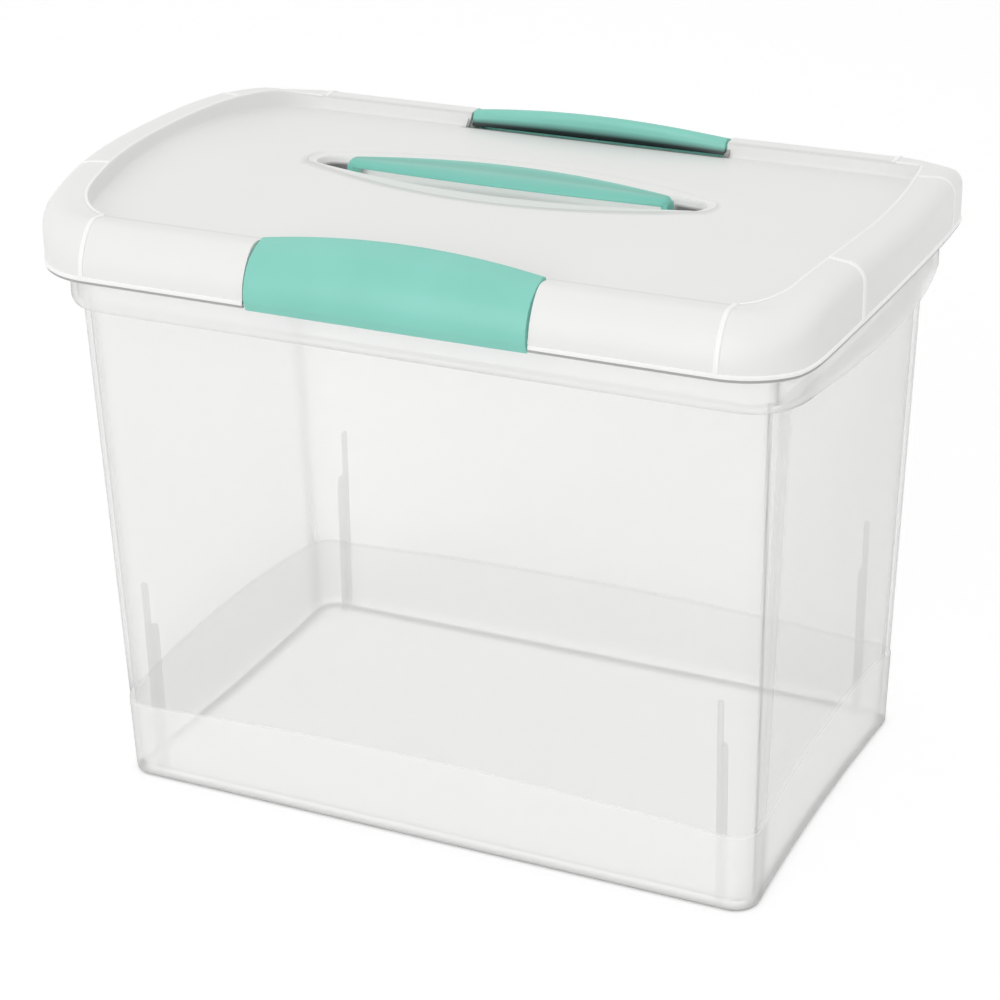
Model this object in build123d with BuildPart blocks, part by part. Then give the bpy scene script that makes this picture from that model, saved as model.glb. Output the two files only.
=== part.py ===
from build123d import *
from math import sqrt
import os

os.makedirs("parts", exist_ok=True)

# ------------------------------------------------------------------
# driving dimensions, millimetres; X along the long side, Z up
# ------------------------------------------------------------------
wall = 2.2                 # moulded wall thickness
floor_t = 2.6              # base floor thickness

# outside of the lid's skirt, the widest outline of the box
skirt_half_len = 187.5
skirt_half_wid = 120.0
skirt_bow = 22.0
skirt_r = 24.0

# collar of the base, inside the skirt
collar_room_len = 12.5     # from the collar to the skirt's outside, at the ends
collar_room_wid = 13.5     # and along the sides
collar_half_len = skirt_half_len - collar_room_len
collar_half_wid = skirt_half_wid - collar_room_wid
collar_bow = 12.0
collar_r = 16.0
rim_z = 262.0              # top of the base along the sides
collar_h = 28.5            # from the collar's step to the rim
collar_z = rim_z - collar_h
collar_rise = 5.0
end_rise = 12.0            # how far rim, flange and skirt climb at the ends
end_rise_room = 16.0       # from the end of that climb to the skirt's side
end_rise_half = skirt_half_wid - end_rise_room
blend_r = 42.0             # blend where the climb starts

# base walls: half length, half width, end bow, corner radius
step_len = 4.7             # collar outside the walls, at the ends
step_wid = 4.9             # and along the sides
wall_half_len = collar_half_len - step_len
wall_half_wid = collar_half_wid - step_wid
wall_bow = 8.3
wall_r = 13.0
wall_top_over = 4.0        # the walls' taper is drawn up to this above the rim
wall_top_z = rim_z + wall_top_over
draft_len = 17.3           # taper of the walls from that height to the floor
draft_wid = 4.1
foot_half_len = wall_half_len - draft_len
foot_half_wid = wall_half_wid - draft_wid
foot_bow = -3.0            # ends pinched inward at the floor
foot_r = 11.0
foot_edge_r = 2.4          # rounding under the box

# frosted band round the foot
band_z = 36.0
band_rise_end = 9.5        # band line climbs in the middle of each end
band_rise_side = 5.5       # and a little in the middle of each side
band_step = 0.5

# flange that carries the lid
flange_inset = 4.0         # flange edge inside the skirt's outside
flange_drop = 6.5          # flange's underside below the rim
flange_z = rim_z - flange_drop
flange_t = 2.4

# nesting fins
fin_room = 13.0            # from a fin to the end of the foot
fin_x = foot_half_len - fin_room
fin_t = 2.2
fin_low_z = 78.0
fin_top_z = 101.0
fin_low_reach = 8.0
fin_top_reach = 2.2

# hanging rails
rail_room = 12.8           # from a rail to the end of the walls
rail_x = wall_half_len - rail_room
rail_t = 2.2
rail_side_room = 17.6      # from a rail's end to the long walls
rail_half_len = wall_half_wid - rail_side_room
rail_drop = 22.0           # rail below the rim
rail_z = rim_z - rail_drop
rail_h = 8.0

# lid skirt
skirt_under = 2.0          # skirt's edge below the flange
skirt_z = flange_z - skirt_under
lip_h = 1.8
lip_out = 0.6
lid_h = 25.5               # crown of the lid above the rim of the base
lid_top_z = rim_z + lid_h
crown_drop = 10.5          # fall from the crown to the panel border
roll_r = 20.0              # rolled edge of the lid

# panel
border_in_len = 15.5       # panel border inside the skirt, at the ends
border_in_wid = 20.5       # and along the sides
border_half_len = skirt_half_len - border_in_len
border_half_wid = skirt_half_wid - border_in_wid
border_bow = 18.0
border_r = 13.0
panel_depth = 6.6

# seating ring under the lid
ring_inset = 5.4
ring_t = 2.2
seat_gap = 0.3

# raised ribs over the rolled edge
rib_t = 1.8
rib_out = 0.7
rib_side_room = 43.5       # from a side rib to the end of the skirt
rib_side_x = skirt_half_len - rib_side_room
rib_end_room = 59.0        # from an end rib to the side of the skirt
rib_end_y = skirt_half_wid - rib_end_room
rib_end_turn = 14.0
rib_run = 60.0             # length of an end rib's cut and height of all cuts

# latch bays in the lid
bay_half_len = 65.0
bay_in = 3.5               # bay's inner wall inside the panel border
bay_inner_y = border_half_wid - bay_in
bay_shelf_over = 3.0       # shelf's edge outside the collar
bay_shelf_y = collar_half_wid + bay_shelf_over
bay_gap = 0.4              # shelf above the rim of the base
web_t = 3.0

# latches; heights of the outer face are measured from the skirt's edge
latch_side_gap = 1.0
latch_half_len = bay_half_len - latch_side_gap
latch_t = 2.2
axis_off = 6.2             # hinge axis outside the bay's inner wall
axis_y = bay_inner_y + axis_off
axis_up = 11.8             # and above the rim of the base
axis_z = rim_z + axis_up
pin_r = 1.5
pin_len = 2.7
pin_play = 0.05
pin_hole_depth = 2.0
hub_r = 3.2
hook_slope = 1.43          # rise over run of the hook face
hook_gap = 0.3
hook_chamfer = 1.8         # height of the slope under the flange
hook_reach = 1.8
hook_side_room = 6.0
hook_half_len = latch_half_len - hook_side_room
latch_face = (             # outer face at the latch's ends, from the skirt
    (-0.6, -2.0),
    (0.9, 3.5),
    (-0.4, 10.5),
    (-4.6, 17.4),
    (-10.8, 22.1),
    (-17.4, 24.4),
)
latch_outer = tuple((skirt_half_wid + y, skirt_z + z) for y, z in latch_face)
latch_bulge = (            # how far the same points move out at the middle
    (0.2, 0.0),
    (0.4, 0.0),
    (0.6, 0.4),
    (0.9, 1.0),
    (0.2, 2.4),
    (-2.6, 4.4),
)
latch_lip_gap = 1.8        # lower edge of the inner face from the bay's wall
latch_lip_up = 10.2        # and above the rim of the base
latch_lip_end = (bay_inner_y + latch_lip_gap, rim_z + latch_lip_up)
latch_lip_in = (2.0, 3.8)  # from there to where the face rounds over
latch_lip_top = (latch_lip_end[0] + latch_lip_in[0], latch_lip_end[1] + latch_lip_in[1])
latch_lip_bulge = (-2.4, 3.6)      # and how far this moves at the middle

# handle; its heights are measured down from the lid's crown
grip_half_len = 80.0
grip_half_wid = 13.0
grip_tip_half = 4.2
grip_mid_low_z = lid_top_z - 7.2
grip_mid_top_z = lid_top_z - 3.1
grip_tip_low_z = lid_top_z - 9.5
grip_tip_top_z = lid_top_z - 5.7
grip_top_edge = 1.0
grip_low_edge = 0.6
leg_in = 4.5               # legs inside the grip's tips
leg_x = grip_half_len - leg_in
leg_t = 3.0
leg_half_wid = 3.0
leg_shoulder_wid = 3.9
slot_play = 0.3
well_depth = 16.0          # well's floor below the lid's crown
well_floor_z = lid_top_z - well_depth
well_room_len = 17.0       # well beyond the grip, at its tips
well_room_wid = 15.0       # and beside it
well_half_len = grip_half_len + well_room_len
well_half_wid = grip_half_wid + well_room_wid
well_tip_half = 5.0
well_slope = 12.0
well_end_slope = 14.0
pit_end_x = well_half_len
pit_len = 25.0
pit_half_wid = 4.5
pit_drop = 3.5             # pits below the well's floor
pit_floor_z = well_floor_z - pit_drop
handle_travel = 9.0
barb_h = 2.6
barb_reach = 1.8

far = 400.0                # larger than the whole box

# ------------------------------------------------------------------
# derived dimensions
# ------------------------------------------------------------------
foot_plan = (foot_half_len, foot_half_wid, foot_bow, foot_r)
wall_plan = (wall_half_len, wall_half_wid, wall_bow, wall_r)
collar_plan = (collar_half_len, collar_half_wid, collar_bow, collar_r)
skirt_plan = (skirt_half_len, skirt_half_wid, skirt_bow, skirt_r)
border_plan = (border_half_len, border_half_wid, border_bow, border_r)
crown_radius = (border_half_wid**2 + crown_drop**2) / (2 * crown_drop)
crown_centre_z = lid_top_z - crown_radius
panel_z = lid_top_z - panel_depth
core_over = 2.5            # lid solids are drawn from this above the collar's step
core_base_z = collar_z + core_over
well_top_z = panel_z + 0.4


def crown_height(y, drop=0.0):
    """Height of the crowned lid surface at a distance y from the middle."""
    r = crown_radius - drop
    return crown_centre_z + sqrt(r * r - y * y)


def draw_plan(plan, grow):
    """Rounded plan outline with bowed ends, drawn in the active sketch."""
    a = plan[0] + grow
    w = plan[1] + grow
    c = a - plan[2]
    with BuildLine() as outline:
        Line((-c, -w), (c, -w))
        ThreePointArc((c, -w), (a, 0), (c, w))
        Line((c, w), (-c, w))
        ThreePointArc((-c, w), (-a, 0), (-c, -w))
    make_face(outline.edges())
    fillet(vertices(), radius=plan[3] + grow)


def plan_prism(plan, z0, z1, grow=0.0):
    """Upright block with the plan shape of the box between two heights."""
    with BuildPart() as block:
        with BuildSketch(Plane.XY.offset(z0)):
            draw_plan(plan, grow)
        extrude(amount=z1 - z0)
    return block.part


def wall_taper(z0, z1, grow=0.0, edge_r=0.0):
    """Tapered body of the box walls between two heights."""
    with BuildPart() as block:
        for z in (z0, z1):
            s = z / wall_top_z
            plan = [f + (t - f) * s for f, t in zip(foot_plan, wall_plan)]
            with BuildSketch(Plane.XY.offset(z)):
                draw_plan(plan, grow)
        loft(ruled=True)
        if edge_r > 0:
            fillet(faces().sort_by(Axis.Z)[0].edges(), radius=edge_r)
    return block.part


def climb_region(z_side, rise, z_far):
    """Everything between a line that climbs over the ends and a far height."""
    h = end_rise_half
    with BuildPart() as block:
        with BuildSketch(Plane.YZ):
            with BuildLine():
                Line((-far, z_side), (-h, z_side))
                ThreePointArc((-h, z_side), (0, z_side + rise), (h, z_side))
                Line((h, z_side), (far, z_side))
                Line((far, z_side), (far, z_far))
                Line((far, z_far), (-far, z_far))
                Line((-far, z_far), (-far, z_side))
            make_face()
            kinks = vertices().filter_by_position(Axis.X, -h - 1, h + 1)
            fillet(kinks, radius=blend_r)
        extrude(amount=far, both=True)
    return block.part


def crown_region(drop, z_far):
    """Everything between the crowned lid surface and a far height."""
    y = 150.0
    z_y = crown_height(y, drop)
    with BuildPart() as block:
        with BuildSketch(Plane.YZ):
            with BuildLine():
                ThreePointArc((-y, z_y), (0, crown_height(0, drop)), (y, z_y))
                Line((y, z_y), (y, z_far))
                Line((y, z_far), (-y, z_far))
                Line((-y, z_far), (-y, z_y))
            make_face()
        extrude(amount=far, both=True)
    return block.part


def lid_solid(inset):
    """Filled lid shape, crowned on top with a rolled edge, open below."""
    with BuildPart() as block:
        add(plan_prism(skirt_plan, core_base_z, lid_top_z + 5, -inset))
        add(crown_region(inset, far), mode=Mode.SUBTRACT)
        top = faces().sort_by(Axis.Z)[-1]
        fillet(top.edges(), radius=roll_r - inset)
    return block.part


# ------------------------------------------------------------------
# base
# ------------------------------------------------------------------
below_collar = climb_region(collar_z, collar_rise, 0.0)
below_collar_in = climb_region(collar_z + wall, collar_rise, 0.0)
above_rim = climb_region(rim_z, end_rise, far)
below_flange = climb_region(flange_z, end_rise, 0.0)
above_flange = climb_region(flange_z + flange_t, end_rise, far)

with BuildPart() as collar_outer:
    add(plan_prism(collar_plan, collar_z - 5, rim_z + end_rise + 5))
    add(below_collar, mode=Mode.SUBTRACT)

with BuildPart() as collar_inner:
    add(plan_prism(collar_plan, collar_z - 5, rim_z + end_rise + 5, -wall))
    add(below_collar_in, mode=Mode.SUBTRACT)

with BuildPart() as flange:
    add(plan_prism(skirt_plan, flange_z - 2, flange_z + end_rise + 6, -flange_inset))
    add(below_flange, mode=Mode.SUBTRACT)
    add(above_flange, mode=Mode.SUBTRACT)

# band line climbing over the ends
with BuildPart() as band_ends:
    add(wall_taper(0.0, band_z + 20, band_step, foot_edge_r))
    add(climb_region(band_z, band_rise_end, far), mode=Mode.SUBTRACT)

# band line climbing along the sides
with BuildPart() as band_sides:
    add(wall_taper(0.0, band_z + 20, band_step, foot_edge_r))
    with BuildSketch(Plane.XZ):
        with BuildLine():
            b = foot_half_len
            Line((-far, band_z), (-b, band_z))
            ThreePointArc((-b, band_z), (0, band_z + band_rise_side), (b, band_z))
            Line((b, band_z), (far, band_z))
            Line((far, band_z), (far, far))
            Line((far, far), (-far, far))
            Line((-far, far), (-far, band_z))
        make_face()
    extrude(amount=far, both=True, mode=Mode.SUBTRACT)

wall_middle = wall_taper(1.0, wall_top_z, -wall / 2)

with BuildPart() as rails:
    for side in (-1, 1):
        with BuildSketch(Plane.XY.offset(rail_z)):
            with Locations((side * (rail_x + 8), 0)):
                Rectangle(16 + rail_t, 2 * rail_half_len)
        extrude(amount=rail_t)
        with BuildSketch(Plane.XY.offset(rail_z)):
            with Locations((side * rail_x, 0)):
                Rectangle(rail_t, 2 * rail_half_len)
        extrude(amount=rail_h)
    add(wall_middle, mode=Mode.INTERSECT)

with BuildPart() as fins:
    wall_slope = (wall_half_wid - foot_half_wid) / wall_top_z
    y_foot = foot_half_wid - wall
    for end in (-1, 1):
        for side in (-1, 1):
            with BuildSketch(Plane.YZ.offset(end * fin_x - fin_t / 2)):
                with BuildLine():
                    y_top = y_foot + wall_slope * fin_top_z
                    y_mid = y_foot + wall_slope * fin_low_z
                    Polyline(
                        (side * (y_foot + wall / 2), floor_t / 2),
                        (side * (y_foot - fin_low_reach), floor_t / 2),
                        (side * (y_mid - fin_low_reach), fin_low_z - 2),
                        (side * (y_mid - fin_low_reach + 2), fin_low_z),
                        (side * (y_mid - fin_top_reach), fin_low_z),
                        (side * (y_top - fin_top_reach), fin_top_z - 2),
                        (side * (y_top - fin_top_reach + 1), fin_top_z),
                        (side * (y_top + wall / 2), fin_top_z),
                        close=True,
                    )
                make_face()
            extrude(amount=fin_t)

# sloped strip under the flange where each latch hooks on
with BuildPart() as hook_slopes:
    for side in (-1, 1):
        edge_y = skirt_half_wid - flange_inset
        with BuildSketch(Plane.YZ.offset(-bay_half_len)):
            Polygon(
                (side * (edge_y - hook_chamfer / hook_slope - 1), flange_z - hook_slope),
                (side * (edge_y + 1), flange_z + hook_chamfer + hook_slope),
                (side * (edge_y + 3), flange_z - hook_slope),
                align=None,
            )
        extrude(amount=2 * bay_half_len)

with BuildPart() as base:
    add(wall_taper(0.0, wall_top_z, 0.0, foot_edge_r))
    add(below_collar, mode=Mode.INTERSECT)
    add(collar_outer.part)
    add(flange.part)
    add(hook_slopes.part, mode=Mode.SUBTRACT)
    add(band_ends.part)
    add(band_sides.part)
    add(above_rim, mode=Mode.SUBTRACT)
    add(wall_taper(floor_t, wall_top_z + 20, -wall), mode=Mode.SUBTRACT)
    add(collar_inner.part, mode=Mode.SUBTRACT)
    add(rails.part)
    add(fins.part)

base.part.label = "file box base"
export_step(base.part, "parts/base.step")


# ------------------------------------------------------------------
# lid
# ------------------------------------------------------------------
below_skirt = climb_region(skirt_z, end_rise, 0.0)
flange_top_z = flange_z + flange_t
shelf_z = rim_z + bay_gap
above_panel = crown_region(panel_depth, far)


def draw_lens(half_len, half_wid, tip_half):
    """Lens outline with blunt tips, drawn in the active sketch."""
    a = half_len
    w = half_wid
    t = tip_half
    with BuildLine() as outline:
        Line((-a, t), (-a, -t))
        ThreePointArc((-a, -t), (0, -w), (a, -t))
        Line((a, -t), (a, t))
        ThreePointArc((a, t), (0, w), (-a, t))
    make_face(outline.edges())
    fillet(vertices(), radius=0.7 * t)


def well_prism(z0, z1, grow=0.0):
    """Lens-shaped well with sloping sides, between floor and top heights."""
    with BuildPart() as block:
        for z, run_x, run_y in ((z0, well_end_slope, well_slope), (z1, 0.0, 0.0)):
            with BuildSketch(Plane.XY.offset(z)):
                draw_lens(
                    well_half_len + grow - run_x,
                    well_half_wid + grow - run_y,
                    well_tip_half + grow,
                )
        loft(ruled=True)
    return block.part


def pit_prism(z0, z1, grow=0.0):
    """Round-ended pits at both ends of the handle well."""
    with BuildPart() as block:
        with BuildSketch(Plane.XY.offset(z0)):
            for end in (-1, 1):
                with Locations((end * (pit_end_x - pit_len / 2), 0)):
                    Rectangle(pit_len + 2 * grow, 2 * (pit_half_wid + grow))
            fillet(vertices(), radius=(pit_half_wid + grow) * 0.9)
        extrude(amount=z1 - z0)
    return block.part


# finger well under the grip
with BuildPart() as well_space:
    add(well_prism(well_floor_z, well_top_z))
    add(pit_prism(pit_floor_z, lid_top_z))

with BuildPart() as well_skin:
    add(well_prism(well_floor_z - wall, well_top_z - wall, wall))
    add(pit_prism(pit_floor_z - wall, lid_top_z - wall, wall))
    add(above_panel, mode=Mode.SUBTRACT)

with BuildPart() as leg_slots:
    with BuildSketch(Plane.XY.offset(pit_floor_z - 2 * wall)):
        with Locations((leg_x, 0), (-leg_x, 0)):
            Rectangle(leg_t + 2 * slot_play, 2 * (leg_half_wid + slot_play))
    extrude(amount=3 * wall)

# pocket of the lid panel and the hollow under the lid
with BuildPart() as pocket:
    add(plan_prism(border_plan, core_base_z, lid_top_z + 5))
    add(above_panel, mode=Mode.INTERSECT)

with BuildPart() as pocket_skin:
    add(plan_prism(border_plan, core_base_z, lid_top_z + 5, wall))
    add(crown_region(panel_depth + wall, far), mode=Mode.INTERSECT)

with BuildPart() as hollow:
    add(lid_solid(wall))
    add(pocket_skin.part, mode=Mode.SUBTRACT)
    add(well_skin.part, mode=Mode.SUBTRACT)

# raised ribs over the rolled edge, at both sides of every corner
with BuildPart() as ribs:
    with BuildSketch(Plane.XY.offset(skirt_z - 5)):
        with Locations((-rib_side_x, 0), (rib_side_x, 0)):
            Rectangle(rib_t, 2 * skirt_half_wid + 10)
        for end in (-1, 1):
            for side in (-1, 1):
                with Locations(
                    Location((end * skirt_half_len, side * rib_end_y), end * side * rib_end_turn)
                ):
                    Rectangle(rib_run, rib_t)
    extrude(amount=rib_run)
    add(lid_solid(-rib_out), mode=Mode.INTERSECT)

# rolled lip along the bottom of the skirt
with BuildPart() as lip:
    add(plan_prism(skirt_plan, skirt_z - 2, skirt_z + end_rise + 6, lip_out))
    add(climb_region(skirt_z + lip_h, end_rise, far), mode=Mode.SUBTRACT)

# ledge inside the skirt that sits on the flange
with BuildPart() as ledge:
    add(plan_prism(skirt_plan, flange_z, lid_top_z, -wall / 2))
    add(plan_prism(skirt_plan, flange_z - 5, lid_top_z + 5, -ring_inset), mode=Mode.SUBTRACT)
    add(climb_region(flange_top_z + seat_gap, end_rise, 0.0), mode=Mode.SUBTRACT)
    add(climb_region(flange_top_z + seat_gap + ring_t, end_rise, far), mode=Mode.SUBTRACT)

# shelf, back wall and end webs of both latch bays
with BuildPart() as bays:
    for side in (-1, 1):
        x_out = bay_half_len + web_t
        y_wall = bay_inner_y - wall
        with BuildSketch(Plane.YZ.offset(-x_out)):
            Polygon(
                (side * y_wall, shelf_z),
                (side * bay_shelf_y, shelf_z),
                (side * bay_shelf_y, shelf_z + wall),
                (side * bay_inner_y, shelf_z + wall),
                (side * bay_inner_y, lid_top_z),
                (side * y_wall, lid_top_z),
                align=None,
            )
        extrude(amount=2 * x_out)
        for x_web in (-x_out, bay_half_len):
            with BuildSketch(Plane.YZ.offset(x_web)):
                Polygon(
                    (side * y_wall, shelf_z),
                    (side * (collar_half_wid + 1), shelf_z),
                    (side * (collar_half_wid + 1), flange_top_z + seat_gap),
                    (side * (skirt_half_wid + 5), flange_top_z + seat_gap),
                    (side * (skirt_half_wid + 5), lid_top_z),
                    (side * y_wall, lid_top_z),
                    align=None,
                )
            extrude(amount=web_t)
    add(lid_solid(wall / 2), mode=Mode.INTERSECT)
    add(pocket.part, mode=Mode.SUBTRACT)

# room for the latches and their pins
with BuildPart() as latch_room:
    for side in (-1, 1):
        with BuildSketch(Plane.YZ.offset(-bay_half_len)):
            Polygon(
                (side * bay_inner_y, shelf_z + wall),
                (side * bay_shelf_y, shelf_z + wall),
                (side * bay_shelf_y, core_base_z),
                (side * (skirt_half_wid + 20), core_base_z),
                (side * (skirt_half_wid + 20), lid_top_z + 10),
                (side * bay_inner_y, lid_top_z + 10),
                align=None,
            )
        extrude(amount=2 * bay_half_len)
        hole_x = bay_half_len + pin_hole_depth
        with BuildSketch(Plane.YZ.offset(-hole_x)):
            with Locations((side * axis_y, axis_z)):
                Circle(pin_r + pin_play)
        extrude(amount=2 * hole_x)

with BuildPart() as lid:
    add(lid_solid(0.0))
    add(ribs.part)
    add(lip.part)
    add(pocket.part, mode=Mode.SUBTRACT)
    add(hollow.part, mode=Mode.SUBTRACT)
    add(ledge.part)
    add(bays.part)
    add(below_skirt, mode=Mode.SUBTRACT)
    add(well_space.part, mode=Mode.SUBTRACT)
    add(leg_slots.part, mode=Mode.SUBTRACT)
    add(latch_room.part, mode=Mode.SUBTRACT)

lid.part.label = "file box lid"
export_step(lid.part, "parts/lid.step")


# ------------------------------------------------------------------
# latches
# ------------------------------------------------------------------
def inset_points(points, depth):
    """Points moved square to the line through them, towards the inside."""
    moved = []
    last = len(points) - 1
    for i, (y, z) in enumerate(points):
        y0, z0 = points[max(i - 1, 0)]
        y1, z1 = points[min(i + 1, last)]
        run = sqrt((y1 - y0) ** 2 + (z1 - z0) ** 2)
        moved.append((y - depth * (z1 - z0) / run, z + depth * (y1 - y0) / run))
    return moved


def latch_section(side, bulge, filled):
    """Section of a latch, drawn in the active sketch, as a shell or filled."""
    outer = [
        (y + bulge * by, z + bulge * bz)
        for (y, z), (by, bz) in zip(latch_outer, latch_bulge)
    ]
    lip_y = latch_lip_top[0] + bulge * latch_lip_bulge[0]
    lip_z = latch_lip_top[1] + bulge * latch_lip_bulge[1]
    end_y, end_z = latch_lip_end
    out_pts = [(side * y, z) for y, z in outer]
    in_pts = [(side * y, z) for y, z in inset_points(outer, latch_t)]
    with BuildLine() as section:
        Spline(*out_pts)
        Polyline(out_pts[-1], (side * lip_y, lip_z), (side * end_y, end_z))
        Line((side * end_y, end_z), (side * (end_y + latch_t), end_z))
        if filled:
            Polyline(
                (side * (end_y + latch_t), end_z),
                (side * axis_y, axis_z - hub_r),
                (side * (bay_shelf_y + 1), end_z - 2 * hub_r),
                in_pts[1],
                in_pts[0],
                out_pts[0],
            )
        else:
            Polyline(
                (side * (end_y + latch_t), end_z),
                (side * (lip_y + latch_t), lip_z - latch_t / 2),
                in_pts[-2],
            )
            Spline(*in_pts[-2::-1])
            Line(in_pts[0], out_pts[0])
    make_face(section.edges())


def latch_part(side):
    """One latch with its end plates, hinge pins and hook."""
    with BuildPart() as latch:
        for x, bulge in ((-latch_half_len, 0.0), (0.0, 1.0), (latch_half_len, 0.0)):
            with BuildSketch(Plane.YZ.offset(x)):
                latch_section(side, bulge, False)
        loft()
        for x in (-latch_half_len, latch_half_len - latch_t):
            with BuildSketch(Plane.YZ.offset(x)):
                latch_section(side, 0.0, True)
            extrude(amount=latch_t)
            with BuildSketch(Plane.YZ.offset(x)):
                with Locations((side * axis_y, axis_z)):
                    Circle(hub_r)
            extrude(amount=latch_t)
        for end in (-1, 1):
            with BuildSketch(Plane.YZ.offset(end * (latch_half_len - latch_t / 2))):
                with Locations((side * axis_y, axis_z)):
                    Circle(pin_r)
            extrude(amount=end * (pin_len + latch_t / 2))
        edge_y = skirt_half_wid - flange_inset
        lean = sqrt(1 + hook_slope**2)
        face_y = edge_y + hook_gap * hook_slope / lean
        face_z = flange_z + hook_chamfer - hook_gap / lean
        tip_y = edge_y - hook_reach
        skin_y = latch_outer[1][0] - latch_t / 2
        with BuildSketch(Plane.YZ.offset(-hook_half_len)):
            Polygon(
                (side * (latch_outer[0][0] - latch_t / 2), latch_outer[0][1] + 0.4),
                (side * (tip_y + 1.6), latch_outer[0][1] + 0.4),
                (side * tip_y, latch_outer[0][1] + 1.4),
                (side * tip_y, face_z - (face_y - tip_y) * hook_slope),
                (side * (skin_y - 1), face_z + (skin_y - 1 - face_y) * hook_slope),
                (side * skin_y, face_z + (skin_y - 1 - face_y) * hook_slope),
                align=None,
            )
        extrude(amount=2 * hook_half_len)
    return latch.part


for name, side in (("front_latch", -1), ("back_latch", 1)):
    latch = latch_part(side)
    latch.label = name.replace("_", " ")
    export_step(latch, f"parts/{name}.step")


# ------------------------------------------------------------------
# handle
# ------------------------------------------------------------------
with BuildPart() as handle:
    with BuildSketch(Plane.XY.offset(grip_tip_low_z - 5)):
        draw_lens(grip_half_len, grip_half_wid, grip_tip_half)
    extrude(amount=grip_mid_top_z - grip_tip_low_z + 10)
    with BuildSketch(Plane.XZ):
        with BuildLine():
            g = grip_half_len
            ThreePointArc((-g, grip_tip_low_z), (0, grip_mid_low_z), (g, grip_tip_low_z))
            Line((g, grip_tip_low_z), (g, grip_tip_top_z))
            ThreePointArc((g, grip_tip_top_z), (0, grip_mid_top_z), (-g, grip_tip_top_z))
            Line((-g, grip_tip_top_z), (-g, grip_tip_low_z))
        make_face()
    extrude(amount=2 * grip_half_wid, both=True, mode=Mode.INTERSECT)
    chamfer(faces().sort_by(Axis.Z)[-1].edges(), length=grip_top_edge)
    chamfer(faces().sort_by(Axis.Z)[0].edges(), length=grip_low_edge)
    shoulder_z = pit_floor_z + slot_play
    barb_z = pit_floor_z - wall - slot_play - handle_travel - barb_h
    for x in (-leg_x, leg_x):
        with BuildSketch(Plane.XY.offset(shoulder_z)):
            with Locations((x, 0)):
                Rectangle(leg_t, 2 * leg_shoulder_wid)
        extrude(amount=grip_tip_low_z + 1.5 - shoulder_z)
        with BuildSketch(Plane.XY.offset(barb_z)):
            with Locations((x, 0)):
                Rectangle(leg_t, 2 * leg_half_wid)
        extrude(amount=shoulder_z - barb_z + 0.1)
        with BuildSketch(Plane.YZ.offset(x - leg_t / 2)):
            for side in (-1, 1):
                Polygon(
                    (side * (leg_half_wid - 0.5), barb_z),
                    (side * (leg_half_wid + 0.4), barb_z),
                    (side * (leg_half_wid + barb_reach), barb_z + barb_h - 0.6),
                    (side * (leg_half_wid + barb_reach), barb_z + barb_h),
                    (side * (leg_half_wid - 0.5), barb_z + barb_h),
                    align=None,
                )
        extrude(amount=leg_t)

handle.part.label = "carry handle"
export_step(handle.part, "parts/handle.step")
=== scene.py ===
import logging
import math
from dataclasses import dataclass
from enum import Enum
from typing import Callable, Iterable, Sequence

import bmesh
import bpy
import numpy as np
from mathutils import Matrix, Vector


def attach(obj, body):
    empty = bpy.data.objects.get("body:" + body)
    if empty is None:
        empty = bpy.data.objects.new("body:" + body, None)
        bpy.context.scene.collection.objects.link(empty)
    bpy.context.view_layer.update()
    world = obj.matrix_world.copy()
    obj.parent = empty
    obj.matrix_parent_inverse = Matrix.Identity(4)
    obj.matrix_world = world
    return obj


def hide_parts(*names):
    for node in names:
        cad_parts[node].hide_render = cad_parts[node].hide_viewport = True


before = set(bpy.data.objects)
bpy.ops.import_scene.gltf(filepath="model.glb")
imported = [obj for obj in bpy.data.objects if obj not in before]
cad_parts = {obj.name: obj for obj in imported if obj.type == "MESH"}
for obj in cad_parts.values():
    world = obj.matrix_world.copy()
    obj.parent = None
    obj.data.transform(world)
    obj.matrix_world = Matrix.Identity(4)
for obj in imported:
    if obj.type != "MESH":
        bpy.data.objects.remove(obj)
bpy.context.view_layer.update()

MM = 0.001
PLASTIC_IOR = 1.49
SHARP_DEG = 40.0
END_HALF = 104.0
CLIMB_REACH = 0.9
CLIMB_EASE = 0.0038
DOUBLES_M = 1e-6
NOTHING_M = 1e-7

Object = bpy.types.Object
Material = bpy.types.Material
Socket = bpy.types.NodeSocket
Number = float | Socket
Shape = tuple[np.ndarray, Sequence[Sequence[int]]]
Outline = Sequence[tuple[float, float]]
Rings = list[np.ndarray]

log = logging.getLogger("file_box")


# ---- colours and nodes ----
def linear(hex_colour: str) -> tuple[float, ...]:
    """Turns an sRGB hex colour into linear values, by the usual sRGB curve.

    Args:
        hex_colour: Six hex digits with a leading hash.

    Returns:
        Red, green, blue and an alpha of 1.
    """
    parts = [int(hex_colour[i : i + 2], 16) / 255 for i in (1, 3, 5)]
    curve = [p / 12.92 if p <= 0.04045 else ((p + 0.055) / 1.055) ** 2.4 for p in parts]
    return (*curve, 1.0)


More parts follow.
